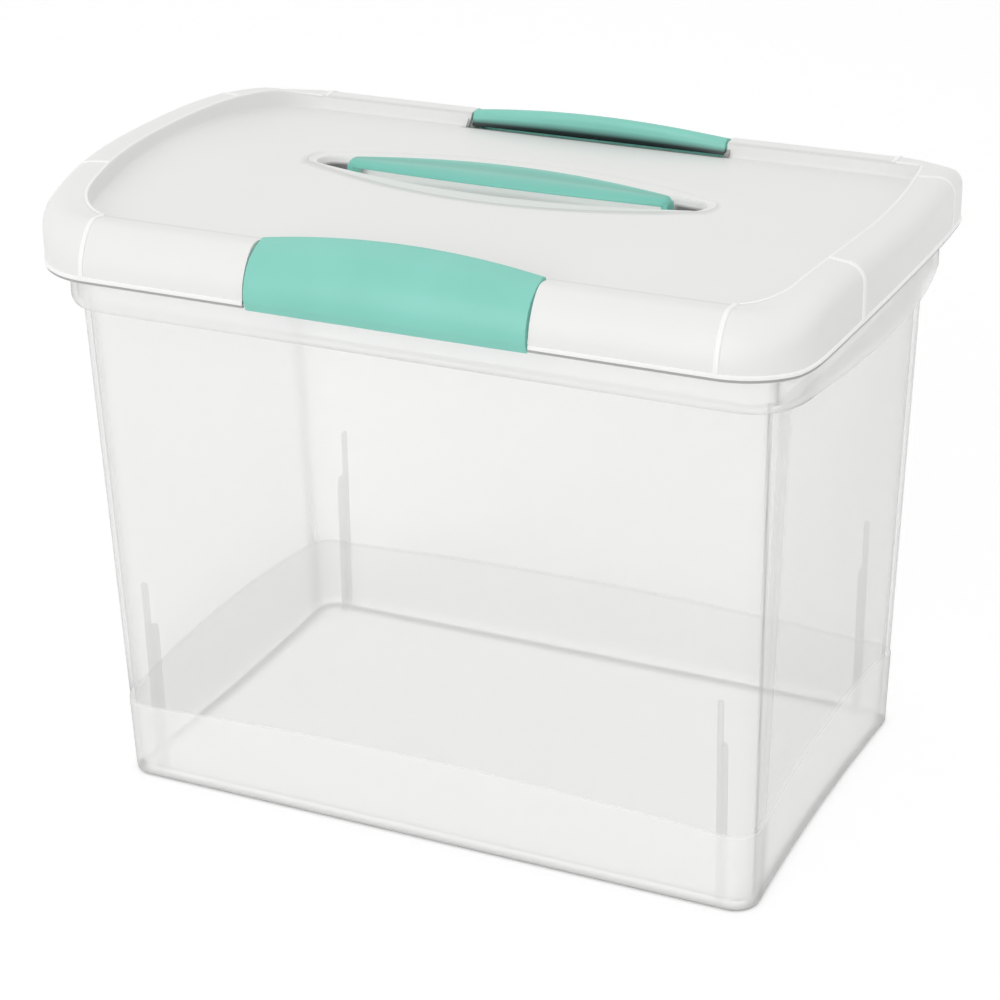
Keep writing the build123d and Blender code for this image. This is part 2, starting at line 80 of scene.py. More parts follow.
class Graph:
    """The nodes of a material or of the world."""

    def __init__(self, owner: Material | bpy.types.World) -> None:
        """Takes an owner of nodes and empties it.

        Args:
            owner: What the nodes belong to.
        """
        owner.use_nodes = True
        self.owner = owner
        self.tree = owner.node_tree
        self.tree.nodes.clear()

    def add(self, kind: str, inputs: dict | None = None, **settings: object) -> bpy.types.Node:
        """Adds one node.

        Args:
            kind: Blender's name of the node type, after "ShaderNode".
            inputs: Sockets by name or number; a socket as value makes a link.
            settings: Attributes of the node by name.

        Returns:
            The new node.
        """
        node = self.tree.nodes.new("ShaderNode" + kind)
        for key, value in settings.items():
            setattr(node, key, value)
        for key, value in (inputs or {}).items():
            if isinstance(value, Socket):
                self.tree.links.new(value, node.inputs[key])
            else:
                node.inputs[key].default_value = value
        return node

    def maths(self, operation: str, *values: Number) -> Socket:
        """The result of one step of arithmetic."""
        return self.add("Math", dict(enumerate(values)), operation=operation).outputs[0]

    def mark(self, name: str) -> Socket:
        """A number that the mesh carries at its points."""
        return self.add("Attribute", attribute_name=name).outputs["Fac"]

    def between(self, factor: Socket, low: Number, high: Number) -> Socket:
        """A number that goes from low to high with a factor."""
        ends = {"Value": factor, "To Min": low, "To Max": high}
        return self.add("MapRange", ends).outputs["Result"]

    def colour(self, factor: Socket, low: str | Socket, high: str) -> Socket:
        """A colour that goes from low to high with a factor."""
        start = linear(low) if isinstance(low, str) else low
        return self.add("Mix", {0: factor, 6: start, 7: linear(high)}, data_type="RGBA").outputs[2]

    def noise(self, lump_mm: float, detail: float) -> Socket:
        """Noise that is fixed to the piece.

        Args:
            lump_mm: How wide its lumps are.
            detail: How much finer noise is laid over them.

        Returns:
            A number from 0 to 1.
        """
        place = self.add("TexCoord").outputs["Object"]
        settings = {"Vector": place, "Scale": 1.0 / (lump_mm * MM), "Detail": detail}
        return self.add("TexNoise", settings).outputs["Fac"]

    def rays(self, *kinds: str) -> Socket:
        """Tells some kinds of rays from all others.

        Args:
            kinds: Names of the kinds.

        Returns:
            1 for rays of these kinds, else 0.
        """
        path = self.add("LightPath").outputs
        share = path[kinds[0]]
        for kind in kinds[1:]:
            share = self.maths("MAXIMUM", share, path[kind])
        return share

    def facing(self, power: float) -> Socket:
        """How far the eye looks along a skin, narrowed by a power."""
        weight = self.add("LayerWeight", {"Blend": 0.5}).outputs["Facing"]
        return self.maths("POWER", weight, power)

    def low_angle(self, power: float) -> Socket:
        """How far the eye looks along an upright skin, from 0 to 1.

        The share sets a painted reflection: level skins stay at 0, as if they mirrored the pale
        ceiling, while upright ones turn grey as if they mirrored the darker far side of the room.

        Args:
            power: How narrow the grey edge is.

        Returns:
            The share.
        """
        normal = self.add("NewGeometry").outputs["Normal"]
        level = self.add("SeparateXYZ", {"Vector": normal}).outputs["Z"]
        upright = self.maths("SUBTRACT", 1.0, self.maths("ABSOLUTE", level))
        return self.maths("MULTIPLY", self.facing(power), upright)

    def plastic(
        self,
        colour: Socket,
        rough: Number,
        skin: Socket,
        bump: tuple[float, float],
        alpha: Number = 1.0,
    ) -> Socket:
        """The shader of a plastic skin.

        Args:
            colour: Colour of the plastic.
            rough: Roughness of the skin.
            skin: Height of the skin, from 0 to 1.
            bump: How strongly the height shows, and what 1 is in mm.
            alpha: How much the skin hides.

        Returns:
            The shader.
        """
        height = {"Strength": bump[0], "Distance": bump[1] * MM, "Height": skin}
        values = {
            "Base Color": colour,
            "Roughness": rough,
            "IOR": PLASTIC_IOR,
            "Alpha": alpha,
            "Normal": self.add("Bump", height).outputs["Normal"],
        }
        return self.add("BsdfPrincipled", values).outputs["BSDF"]

    def let_through(self, shader: Socket, share: Number) -> Material:
        """Ends a material so that a share of the light passes through it.

        Thin plastic scatters light forwards, so what lies behind it is lit
        almost as if it were not there.

        Args:
            shader: What the eye sees of the plastic.
            share: How much of the light one skin of the plastic lets through.

        Returns:
            The finished material.
        """
        factor = self.maths("MULTIPLY", self.rays("Is Shadow Ray", "Is Diffuse Ray"), share)
        clear = self.add("BsdfTransparent").outputs["BSDF"]
        both = self.add("MixShader", {0: factor, 1: shader, 2: clear}).outputs["Shader"]
        self.add("OutputMaterial", {"Surface": both})
        return self.owner


# ---- finishes ----
class Grain(Enum):
    """How coarse the grain of a moulding is, in mm between bumps."""

    FINE = 0.5
    SATIN = 0.9


@dataclass(frozen=True)
class ClearPolypropylene:
    """Clear moulded polypropylene, hazy as the natural resin is.

    It lets most light straight through, gets a painted grey reflection where the eye meets
    the wall at a low angle, and is white and dull where the mould was
    blasted. The mesh says where by its "frost" mark, by "bend" and "turn"
    where the wall goes round a corner, which get painted dark shade for the light
    the curve bends away, and by "sole" where the box stands on its underside,
    which gets painted contact shade and keeps the light off.
    """

    name: str = "clear_moulded_polypropylene"
    clear_colour: str = "#F8F8F6"
    frost_colour: str = "#FCFCFB"
    painted_bend_shade: str = "#8E8E8C"
    painted_edge_shade: str = "#A4A4A2"
    painted_sole_shade: str = "#969694"
    clear_haze: float = 0.17
    frost_haze: float = 0.5
    bend_shade_alpha: float = 0.8
    edge_haze: float = 0.85
    clear_rough: float = 0.24
    frost_rough: float = 0.5
    clear_pass: float = 1.0
    frost_pass: float = 0.97
    edge_power: float = 5.0
    turn_power: float = 2.2
    ripple_mm: float = 38.0
    ripple_bump: tuple[float, float] = (0.12, 0.6)

    def build(self) -> Material:
        """Makes the material.

        Returns:
            The material.
        """
        graph = Graph(bpy.data.materials.new(self.name))
        frost, sole = graph.mark("frost"), graph.mark("sole")
        inner_side = graph.add("NewGeometry").outputs["Backfacing"]
        bend = graph.maths("MULTIPLY", graph.mark("bend"), inner_side)
        turned = graph.maths("MULTIPLY", graph.mark("turn"), graph.facing(self.turn_power))
        flat = graph.between(frost, graph.low_angle(self.edge_power), 0.0)
        edge = graph.maths("MAXIMUM", flat, turned)
        alpha = graph.between(frost, self.clear_haze, self.frost_haze)
        for share, haze in ((edge, self.edge_haze), (bend, self.bend_shade_alpha), (sole, 1.0)):
            alpha = graph.between(share, alpha, haze)
        colour = graph.colour(frost, self.clear_colour, self.frost_colour)
        # painted shade: a dark line along each rounded corner, seen from inside the wall
        colour = graph.colour(bend, colour, self.painted_bend_shade)
        # painted reflection and shade: grey where the eye meets an upright wall at a low angle, and
        # round the corners
        colour = graph.colour(edge, colour, self.painted_edge_shade)
        # painted contact shade on the lower part of the foot's rounding
        colour = graph.colour(sole, colour, self.painted_sole_shade)
        rough = graph.between(frost, self.clear_rough, self.frost_rough)
        ripple = graph.noise(self.ripple_mm, 1.0)
        shader = graph.plastic(colour, rough, ripple, self.ripple_bump, alpha)
        share = graph.between(frost, self.clear_pass, self.frost_pass)
        return graph.let_through(shader, graph.between(sole, share, 0.0))


@dataclass(frozen=True)
class MilkyPolypropylene:
    """Milky white moulded polypropylene, which light sinks into a little.

    The resin lets light glow through, so what it covers stays bright, and a
    fine satin grain from the mould breaks up its shine. The "deep" mark says
    where painted grey shade darkens narrow hollows and gaps, and there less
    light passes through.
    """

    name: str = "milky_moulded_polypropylene"
    colour: str = "#EEEEEC"
    highlight: str = "#F1F1EF"
    rough: float = 0.38
    glow_through: float = 0.93
    painted_shade_colour: str = "#4C4C4E"
    flow_mm: float = 45.0
    grain: Grain = Grain.SATIN
    grain_bump: tuple[float, float] = (0.08, 0.1)

    def build(self) -> Material:
        """Makes the material.

        Returns:
            The material.
        """
        graph = Graph(bpy.data.materials.new(self.name))
        deep = graph.mark("deep")
        tint = graph.colour(graph.noise(self.flow_mm, 2.0), self.colour, self.highlight)
        # painted shade: grey where the "deep" mark lies
        colour = graph.colour(deep, tint, self.painted_shade_colour)
        grain = graph.noise(self.grain.value, 1.0)
        shader = graph.plastic(colour, self.rough, grain, self.grain_bump)
        return graph.let_through(shader, graph.between(deep, self.glow_through, 0.0))


@dataclass(frozen=True)
class TintedPolypropylene:
    """Pigmented moulded polypropylene with a satin skin.

    The pigment is even, the skin has a fine grain, and slow changes in the
    melt's flow make the shine a little uneven. The "dish" mark says where
    painted shade darkens a shallow hollow, and "deep" where painted shade
    darkens an edge that lies in a narrow gap.
    """

    name: str = "sea_green_moulded_polypropylene"
    colour: str = "#8BD7C8"
    shade: str = "#82CEBE"
    rough: tuple[float, float] = (0.32, 0.42)
    glow_through: float = 0.45
    painted_dish_shade: str = "#70BBAB"
    painted_shade_colour: str = "#22302F"
    flow_mm: float = 30.0
    grain: Grain = Grain.FINE
    grain_bump: tuple[float, float] = (0.08, 0.1)

    def build(self) -> Material:
        """Makes the material.

        Returns:
            The material.
        """
        graph = Graph(bpy.data.materials.new(self.name))
        flow = graph.noise(self.flow_mm, 2.0)
        colour = graph.colour(flow, self.colour, self.shade)
        # painted shade on the grip's dished top
        colour = graph.colour(graph.mark("dish"), colour, self.painted_dish_shade)
        # painted shade: a dark gap line where the "deep" mark lies
        colour = graph.colour(graph.mark("deep"), colour, self.painted_shade_colour)
        rough = graph.between(flow, *self.rough)
        grain = graph.noise(self.grain.value, 1.0)
        shader = graph.plastic(colour, rough, grain, self.grain_bump)
        return graph.let_through(shader, self.glow_through)


# ---- meshes from arrays ----
def mesh_object(
    name: str,
    shape: Shape,
    material: Material,
    marks: dict[str, np.ndarray] | None = None,
    closed: bool = True,
    sharp_deg: float = SHARP_DEG,
) -> Object:
    """Puts points and faces into an object, merges doubles and smooths it.

    Args:
        name: The piece's name.
        shape: Its points in mm, and the indices of each face's corners.
        material: The finish.
        marks: Further numbers for each point, by name.
        closed: Whether the surface shuts in a volume, so that its normals
            can be turned outwards.
        sharp_deg: Edges that turn by more than this stay sharp.

    Returns:
        The object, at the origin.
    """
    points, faces = shape
    mesh = bpy.data.meshes.new(name)
    corners = [list(map(int, face)) for face in faces]
    mesh.from_pydata((np.asarray(points, float) * MM).tolist(), [], corners)
    for key, values in (marks or {}).items():
        layer = mesh.attributes.new(key, "FLOAT", "POINT")
        layer.data.foreach_set("value", np.asarray(values, np.float32))
    work = bmesh.new()
    work.from_mesh(mesh)
    bmesh.ops.remove_doubles(work, verts=work.verts, dist=DOUBLES_M)
    bmesh.ops.dissolve_degenerate(work, edges=work.edges, dist=NOTHING_M)
    if closed:
        bmesh.ops.recalc_face_normals(work, faces=work.faces)
    work.to_mesh(mesh)
    work.free()
    mesh.materials.append(material)
    mesh.shade_smooth()
    mesh.set_sharp_from_angle(angle=math.radians(sharp_deg))
    return linked(name, mesh)


def linked(name: str, data: bpy.types.ID) -> Object:
    """Puts a mesh, lamp or camera into the scene.

    Args:
        name: Name of the object.
        data: What the object shows.

    Returns:
        The object.
    """
    thing = bpy.data.objects.new(name, data)
    bpy.context.scene.collection.objects.link(thing)
    return thing


def loop_quads(rows: int, columns: int) -> np.ndarray:
    """Faces between rows of points that each close on themselves.

    Args:
        rows: How many rows there are.
        columns: Points in each row.

    Returns:
        An array of quads, turned the same way.
    """
    k, i = np.meshgrid(np.arange(rows - 1) * columns, np.arange(columns), indexing="ij")
    j = (i + 1) % columns
    return np.stack([k + i, k + j, k + columns + j, k + columns + i], -1).reshape(-1, 4)


def sheet_quads(rows: int, columns: int) -> np.ndarray:
    """Faces of an open grid of points."""
    a = (np.arange(rows - 1)[:, None] * columns + np.arange(columns - 1)).ravel()
    return np.stack([a, a + 1, a + columns + 1, a + columns], -1)


def prism(outline: Outline, x0: float, x1: float) -> Shape:
    """A plate whose outline lies in Y and Z, between two places along X.

    Args:
        outline: Points of the outline.
        x0: Where the plate starts.
        x1: Where it ends.

    Returns:
        Points and faces of the closed plate.
    """
    flat = np.asarray(outline, float)
    n = len(flat)
    points = np.vstack([np.column_stack([np.full(n, x), flat]) for x in (x0, x1)])
    sides = [[i, (i + 1) % n, n + (i + 1) % n, n + i] for i in range(n)]
    return points, [list(range(n))[::-1], [n + i for i in range(n)], *sides]


def bar(rows: np.ndarray) -> Shape:
    """A section carried along a path, closed at both ends.

    Args:
        rows: The section's points at each place along the path.

    Returns:
        Points and faces of the closed bar.
    """
    count, n = rows.shape[:2]
    last = (count - 1) * n
    caps = [list(range(n)), list(range(last, last + n))[::-1]]
    return rows.reshape(-1, 3), [*loop_quads(count, n), *caps]


def joined(parts: Iterable[Shape]) -> Shape:
    """Joins several shapes into one.

    Args:
        parts: Points and faces of each shape.

    Returns:
        Points and faces of them all.
    """
    points: list[np.ndarray] = []
    faces: list[list[int]] = []
    start = 0
    for some_points, some_faces in parts:
        points.append(some_points)
        faces.extend([start + int(corner) for corner in face] for face in some_faces)
        start += len(some_points)
    return np.vstack(points), faces


def smooth_path(corners: np.ndarray, count: int) -> np.ndarray:
    """A Catmull-Rom curve through points, with its ends continued straight.

    Args:
        corners: Points that the curve passes, as rows.
        count: How many points to return.

    Returns:
        Points along the curve, spaced evenly in the curve's parameter.
    """
    c = np.vstack([2 * corners[0] - corners[1], corners, 2 * corners[-1] - corners[-2]])
    u = np.linspace(0, len(corners) - 1, count)
    k = np.minimum(u.astype(int), len(corners) - 2)
    t = (u - k)[:, None]
    p0, p1, p2, p3 = c[k], c[k + 1], c[k + 2], c[k + 3]
    square = 2 * p0 - 5 * p1 + 4 * p2 - p3
    cube = 3 * p1 - p0 - 3 * p2 + p3
    return 0.5 * (2 * p1 + (p2 - p0) * t + square * t**2 + cube * t**3)


def bevelled(piece: Object, width_mm: float) -> None:
    """Rounds a piece's sharp edges by a small bevel.

    Args:
        piece: The piece.
        width_mm: The bevel's width.
    """
    bevel = piece.modifiers.new("soft_edges", "BEVEL")
    bevel.width = width_mm * MM
    bevel.segments = 2
    bevel.limit_method = "ANGLE"
    bevel.angle_limit = math.radians(SHARP_DEG)
    bevel.harden_normals = False


def walled(piece: Object, wall_mm: float, even: bool = False) -> None:
    """Gives a sheet its wall, on its inner side.

    Args:
        piece: The sheet.
        wall_mm: Thickness of the wall.
        even: Whether the wall stays as thick round bends.
    """
    wall = piece.modifiers.new("wall", "SOLIDIFY")
    wall.thickness = wall_mm * MM
    wall.offset = -1
    wall.use_even_offset = even


# ---- plan outlines and heights ----
def mirrored_marks(quarter: np.ndarray) -> np.ndarray:
    """Numbers of a quarter outline, carried round to the other three quarters."""
    back = quarter[..., ::-1]
    return np.concatenate([quarter, back[..., 1:], quarter[..., 1:], back[..., 1:-1]], axis=-1)


def mirrored(quarter: np.ndarray) -> np.ndarray:
    """A quarter outline carried round all four quarters.

    Args:
        quarter: Its points, from the middle of a side to that of an end.

    Returns:
        Points of the whole outline.
    """
    back = quarter[::-1]
    turned = [back[1:] * (1, -1), quarter[1:] * (-1, -1), back[1:-1] * (-1, 1)]
    return np.concatenate([quarter, *turned])


@dataclass(frozen=True)
class Columns:
    """How the points of every outline are spread, so that outlines match."""

    bay_mm: float = 65.0
    in_bay: int = 14
    along_side: int = 20
    round_corner: int = 14
    along_end: int = 26
    split_bay: bool = False

    def bays(self) -> np.ndarray:
        """For each point of the whole outline, whether it lies in a latch bay."""
        rest = self.along_side + self.round_corner + self.along_end
        return mirrored_marks(np.arange(self.in_bay + rest) < self.in_bay)


@dataclass(frozen=True)
class Plan:
    """A plan outline: straight long sides, bowed ends and rounded corners."""

    half_len: float
    half_wid: float
    bow: float
    radius: float

    def loop(self, columns: Columns, grow: float = 0.0) -> np.ndarray:
        """Points round the outline moved outwards by grow, all in mm.

        The end is an arc through the two corners and the middle of the end,
        and the corner arc touches both it and the long side.

        Args:
            columns: How the points are spread.
            grow: How far the outline is moved outwards.

        Returns:
            The points, clockwise from the middle of the back side.
        """
        w = self.half_wid + grow
        r = self.radius + grow
        turn = math.copysign(1.0, self.bow)
        end_r = (w * w + self.bow**2) / (2 * self.bow)
        centre = self.half_len + grow - end_r
        corner_x = centre + turn * math.sqrt((end_r - r) ** 2 - (w - r) ** 2)
        last = math.atan2(turn * (w - r), turn * (corner_x - centre))
        bay = np.linspace(0, columns.bay_mm, columns.in_bay)
        step = 0 if columns.split_bay else 1
        side = np.linspace(columns.bay_mm, corner_x, columns.along_side + step)[step:]
        line = np.concatenate([bay, side])
        angle = np.linspace(math.pi / 2, last, columns.round_corner + 1)[1:]
        corner = np.column_stack([corner_x + r * np.cos(angle), w - r + r * np.sin(angle)])
        y = np.linspace(corner[-1, 1], 0, columns.along_end + 1)[1:]
        end = np.column_stack([centre + turn * np.sqrt(end_r**2 - y**2), y])
        return mirrored(np.vstack([np.column_stack([line, np.full(len(line), w)]), corner, end]))

    def normals(self, columns: Columns) -> np.ndarray:
        """Unit directions square to the outline at its points, outwards.

        Args:
            columns: How the points are spread.

        Returns:
            A direction for each point.
        """
        spots = self.loop(columns)
        on = np.roll(spots, -1, axis=0) - np.roll(spots, 1, axis=0)
        out = np.column_stack([-on[:, 1], on[:, 0]])
        length = np.linalg.norm(out, axis=1)[:, None]
        return out / np.where(length > 0, length, 1)


def climb(y: np.ndarray, rise: float) -> np.ndarray:
    """How far a line has climbed over the ends of the box.

    It is a circle's arc over the middle that runs out flat near the sides,
    with the bend there eased by a hyperbola.

    Args:
        y: Distances from the middle.
        rise: How far the line climbs at the middle.

    Returns:
        The height gained at each distance.
    """
    radius = (END_HALF**2 + rise**2) / (2 * rise)
    arc = rise - radius + np.sqrt(radius**2 - np.minimum(np.abs(y), CLIMB_REACH * radius) ** 2)
    ease = CLIMB_EASE * rise**2
    return 0.5 * (arc + np.sqrt(arc**2 + ease**2))


@dataclass(frozen=True)
class Crown:
    """The lid's crowned surface, a cylinder along X."""

    top: float
    drop: float
    half: float

    def radius(self) -> float:
        """Radius of the cylinder."""
        return (self.half**2 + self.drop**2) / (2 * self.drop)

    def height(self, y: np.ndarray, below: float = 0.0) -> np.ndarray:
        """Height of the surface, or of one that lies a distance below it."""
        r = self.radius()
        return self.top - r + np.sqrt((r - below) ** 2 - y**2)

    def slope(self, y: np.ndarray) -> np.ndarray:
        """How steeply the surface falls at a distance y."""
        return np.abs(y) / np.sqrt(self.radius() ** 2 - y**2)


def ring(plan: np.ndarray, z: np.ndarray | float) -> np.ndarray:
    """Points of an outline at their heights."""
    return np.column_stack([plan, np.broadcast_to(z, len(plan))])


def seam(plan: np.ndarray, z: float, reach: float) -> np.ndarray:
    """An outline drawn together on the X axis, which closes a surface."""
    x = np.clip(plan[:, 0], -reach, reach)
    return np.column_stack([x, np.zeros(len(x)), np.full(len(x), z)])


def swept(plan: np.ndarray, out: np.ndarray, z: np.ndarray, section: Outline) -> np.ndarray:
    """A section carried along an outline: each point outwards and up."""
    return np.stack([ring(plan + grow * out, z + up) for grow, up in section], axis=1)


# ---- base ----
@dataclass
class BoxBase:
    """The deep moulding: floor, tapered walls, collar, flange, fins and rails."""

    shell: Material
    wall: float = 2.2
    floor: float = 2.6
    foot: Plan = Plan(153.0, 97.5, -3.0, 11.0)
    brim: Plan = Plan(170.3, 101.6, 8.3, 13.0)
    brim_z: float = 266.0
    collar: Plan = Plan(181.0, 106.5, 15.5, 26.0)
    flange: Plan = Plan(183.5, 116.0, 16.0, 32.0)
    foot_round: float = 2.4
    floor_round: float = 4.0
    sole_inset: float = 7.0
    seam_reach: float = 140.0
    band_z: float = 36.0
    band_step: float = 0.5
    band_rise_end: float = 9.5
    band_rise_side: float = 5.5
    collar_z: float = 233.5
    collar_rise: float = 5.0
    collar_frost: float = 0.8
    flange_z: float = 255.5
    flange_t: float = 2.4
    rim_z: float = 262.0
    end_rise: float = 12.0
    bend_start: float = 0.86
    bend_shift: float = 0.4
    bend_width: float = 0.07
    fin_x: float = 140.0
    fin_t: float = 2.2
    fin_frost: float = 0.08
    fin_bevel: float = 0.5
    fin_steps: Outline = (
        (1.5, -0.6), (1.5, 8.0), (74.0, 8.0), (77.4, 7.0), (78.0, 5.0), (78.0, 2.2),
        (99.6, 2.2), (101.0, 1.0), (101.0, -0.6),
    )
    rail_x: float = 157.5
    rail_z: float = 240.0
    rail_h: float = 8.0
    rail_half: float = 84.0
    rail_frost: float = 0.3
    sharp_deg: float = 50.0
    columns: Columns = Columns()

    def count(self) -> int:
        """Points in every ring."""
        return len(self.columns.bays())

    def level(self, z: np.ndarray | float, grow: float = 0.0) -> np.ndarray:
        """A ring of the tapered walls, whose outline blends foot and brim.

        Args:
            z: Height of the ring, or of each of its points.
            grow: How far it is moved outwards.

        Returns:
            The ring's points.
        """
        s = (np.broadcast_to(z, self.count()) / self.brim_z)[:, None]
        foot, brim = (plan.loop(self.columns, grow) for plan in (self.foot, self.brim))
        return ring(foot * (1 - s) + brim * s, z)

    def around(self, plan: Plan, steps: Sequence[tuple[float, np.ndarray]]) -> Rings:
        """Rings of an outline, each moved outwards and set at its height."""
        return [ring(plan.loop(self.columns, grow), z) for grow, z in steps]

    def band_line(self) -> np.ndarray:
        """The frosted band's edge, which climbs by parabolas over sides and ends.

        Returns:
            Its height at each point of a ring.
        """
        x, y = self.foot.loop(self.columns).T
        over_end = self.band_rise_end * (1 - (y / END_HALF) ** 2)
        over_side = self.band_rise_side * (1 - (x / self.foot.half_len) ** 2)
        return self.band_z + np.maximum(np.maximum(over_end, over_side), 0)

    def outer_rings(self) -> tuple[Rings, list[float]]:
        """Rings from the middle of the underside up to the rim.

        Returns:
            The rings, and how frosted each of them is.
        """
        foot = self.foot.loop(self.columns)
        rings = [seam(foot, 0.0, self.seam_reach)]
        rings += self.around(self.foot, [(-self.sole_inset, 0.0)])
        r = self.foot_round
        for a in np.radians([0, 22, 45, 68, 90]):
            rings.append(self.level(r * (1 - math.cos(a)), self.band_step - r * (1 - math.sin(a))))
        line = self.band_line()
        rings += [self.level(line * share, self.band_step) for share in (0.3, 0.6, 0.85)]
        rings += [self.level(line - d, grow) for d, grow in ((0.5, 0.5), (0.15, 0.42), (0.0, 0.2))]
        frost = [1.0] * len(rings)
        top = self.collar_z + climb(foot[:, 1], self.collar_rise)
        rings.append(self.level(line + 0.25))
        rings += [self.level(line + (top - line) * share) for share in np.linspace(0, 1, 9)[1:-1]]
        rings += [self.level(top - d, grow) for d, grow in ((0.8, 0.0), (0.2, 0.25), (0.0, 0.9))]
        frost += [0.0] * (len(rings) - len(frost))
        y = self.collar.loop(self.columns)[:, 1]
        low = self.collar_z + climb(y, self.collar_rise)
        under = self.flange_z + climb(y, self.end_rise)
        rim = self.rim_z + climb(y, self.end_rise)
        lip = self.flange_z + climb(self.flange.loop(self.columns)[:, 1], self.end_rise)
        t = self.flange_t
        rings += self.around(
            self.collar,
            (
                (-2.2, low), (-0.6, low + 0.6), (0.0, low + 2.2), (0.0, (low + under) / 2),
                (0.0, under - 0.5), (0.5, under),
            ),
        )
        edge = ((-0.6, 0.0), (-0.15, 0.15), (0, 0.6), (0, t - 0.6), (-0.15, t - 0.15), (-0.6, t))
        rings += self.around(self.flange, [(grow, lip + up) for grow, up in edge])
        rings += self.around(
            self.collar,
            (
                (0.5, under + t), (0.0, under + t + 0.5), (0.0, rim - 0.7), (-0.2, rim - 0.2),
                (-0.7, rim),
            ),
        )
        return rings, frost + [self.collar_frost] * (len(rings) - len(frost))

    def inner_rings(self) -> tuple[Rings, list[float]]:
        """Rings from the rim down the inside to the middle of the floor.

        Returns:
            The rings, and how frosted each of them is.
        """
        w = self.wall
        y = self.collar.loop(self.columns)[:, 1]
        rim = self.rim_z + climb(y, self.end_rise)
        low = self.collar_z + w + climb(y, self.collar_rise)
        steps = [(0.7, rim), (0.2, rim - 0.2), (0.0, rim - 0.7)]
        steps += [(0.0, rim + (low - rim) * share) for share in (0.35, 0.7)]
        steps += [(0.0, low + 0.9), (-0.25, low + 0.25), (-0.9, low)]
        rings = self.around(self.collar, [(grow - w, z) for grow, z in steps])
        foot = self.foot.loop(self.columns)
        top = self.collar_z + w + climb(foot[:, 1], self.collar_rise)
        rings += [self.level(top - d, g - w) for d, g in ((0.0, 0.9), (0.2, 0.25), (0.8, 0.0))]
        line = self.band_line()
        for share in np.linspace(0, 1, 9)[1:]:
            rings.append(self.level(top - 0.8 + (line + 0.3 - top) * share, -w))
        frost = [0.0] * len(rings)
        rings.append(self.level(line - 0.3, -w))
        rings += [self.level(line * share, -w) for share in (0.75, 0.5, 0.25)]
        r = self.floor_round
        for a in np.radians([0, 30, 60, 90]):
            rings.append(self.level(self.floor + r * (1 - math.sin(a)), -w - r * (1 - math.cos(a))))
        rings.append(seam(foot, self.floor, self.seam_reach))
        return rings, frost + [1.0] * (len(rings) - len(frost))

    def bend_shade_line(self, z: np.ndarray) -> np.ndarray:
        """A bell curve along each rounded corner, where a line of painted dark shade stands in for
        the light that the curved wall bends away.

        The line lies nearer the end wall at the foot than at the brim.

        Args:
            z: Heights of the rings.

        Returns:
            A number from 0 to 1 for each point of each ring.
        """
        c = self.columns
        turn = (np.arange(self.count() // 4 + 1) - c.in_bay - c.along_side) / c.round_corner
        middle = self.bend_start - self.bend_shift * z[:, None] / self.brim_z
        return mirrored_marks(np.exp(-(((turn - middle) / self.bend_width) ** 2)))

    def corner_shade_line(self) -> np.ndarray:
        """How far each column of a rounded corner has turned to the end, which sets its painted
        grey shade.

        Returns:
            A number from 0 to 1 for each point of a ring.
        """
        c = self.columns
        quarter = np.abs(self.brim.normals(c)[: self.count() // 4 + 1, 0])
        start = c.in_bay + c.along_side
        corner = start + c.round_corner
        quarter[corner : corner + 3] *= (0.8, 0.3, 0.1)
        quarter[corner + 3 :] = 0.0
        quarter[:start] = 0.0
        return mirrored_marks(quarter)

    def fins(self) -> Object:
        """Four stepped fins against the long walls, which lean with them.

        Returns:
            The piece.
        """
        lean = (self.brim.half_wid - self.foot.half_wid) / self.brim_z
        inner = self.foot.half_wid - self.wall
        plates = []
        for x in (-self.fin_x, self.fin_x):
            for side in (-1, 1):
                steps = [(side * (inner + lean * z - reach), z) for z, reach in self.fin_steps]
                plates.append(prism(steps, x - self.fin_t / 2, x + self.fin_t / 2))
        shape = joined(plates)
        frost = np.full(len(shape[0]), self.fin_frost)
        fins = mesh_object("nesting_fins", shape, self.shell, {"frost": frost})
        bevelled(fins, self.fin_bevel)
        return fins

    def rails(self) -> Object:
        """Two low rails near the ends, on which folders hang.

        Each is one section carried along Y, whose outer points follow the
        bowed end wall.

        Returns:
            The piece.
        """
        y = np.linspace(-self.rail_half, self.rail_half, 33)
        share = self.rail_z / self.brim_z
        half_len, half_wid, bow = (
            getattr(self.foot, size) * (1 - share) + getattr(self.brim, size) * share
            for size in ("half_len", "half_wid", "bow")
        )
        wall_x = half_len - self.wall + 0.6 - bow * (y / half_wid) ** 2
        x_in, x_out = self.rail_x - 1.1, self.rail_x + 1.1
        low, top = self.rail_z, self.rail_z + self.rail_h
        section = (
            (wall_x, low), (x_in, low), (x_in, top - 0.5), (x_in + 0.6, top), (x_out - 0.6, top),
            (x_out, top - 0.5), (x_out, low + 2.2), (wall_x, low + 2.2),
        )
        bars = []
        for side in (-1, 1):
            rows = [np.stack(np.broadcast_arrays(side * x, y, z), -1) for x, z in section]
            bars.append(bar(np.stack(rows, axis=1)))
        shape = joined(bars)
        frost = np.full(len(shape[0]), self.rail_frost)
        return mesh_object("folder_rails", shape, self.shell, {"frost": frost})

    def build(self) -> list[Object]:
        """Makes the base and its moulded-in fins and rails.

        Returns:
            The pieces.
        """
        out, out_frost = self.outer_rings()
        into, in_frost = self.inner_rings()
        rings = out + into
        n = self.count()
        row = np.arange(len(rings))
        bend = self.bend_shade_line(np.array([r[:, 2].mean() for r in rings]))
        marks = {
            "frost": np.repeat(out_frost + in_frost, n),
            # bend: where the painted dark line lies along the corners
            "bend": (bend * (row >= len(out))[:, None]).ravel(),
            # sole: painted contact shade, and there no light passes through
            "sole": np.repeat((row > 1) & (row < 5), n),
            # turn: how much painted grey shade each corner column gets
            "turn": np.tile(self.corner_shade_line(), len(rings)),
        }
        shape = np.vstack(rings), loop_quads(len(rings), n)
        shell = mesh_object("box_shell", shape, self.shell, marks, True, self.sharp_deg)
        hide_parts("base")
        pieces = [shell, self.fins(), self.rails()]
        for piece in pieces:
            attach(piece, "base_body")
        return pieces


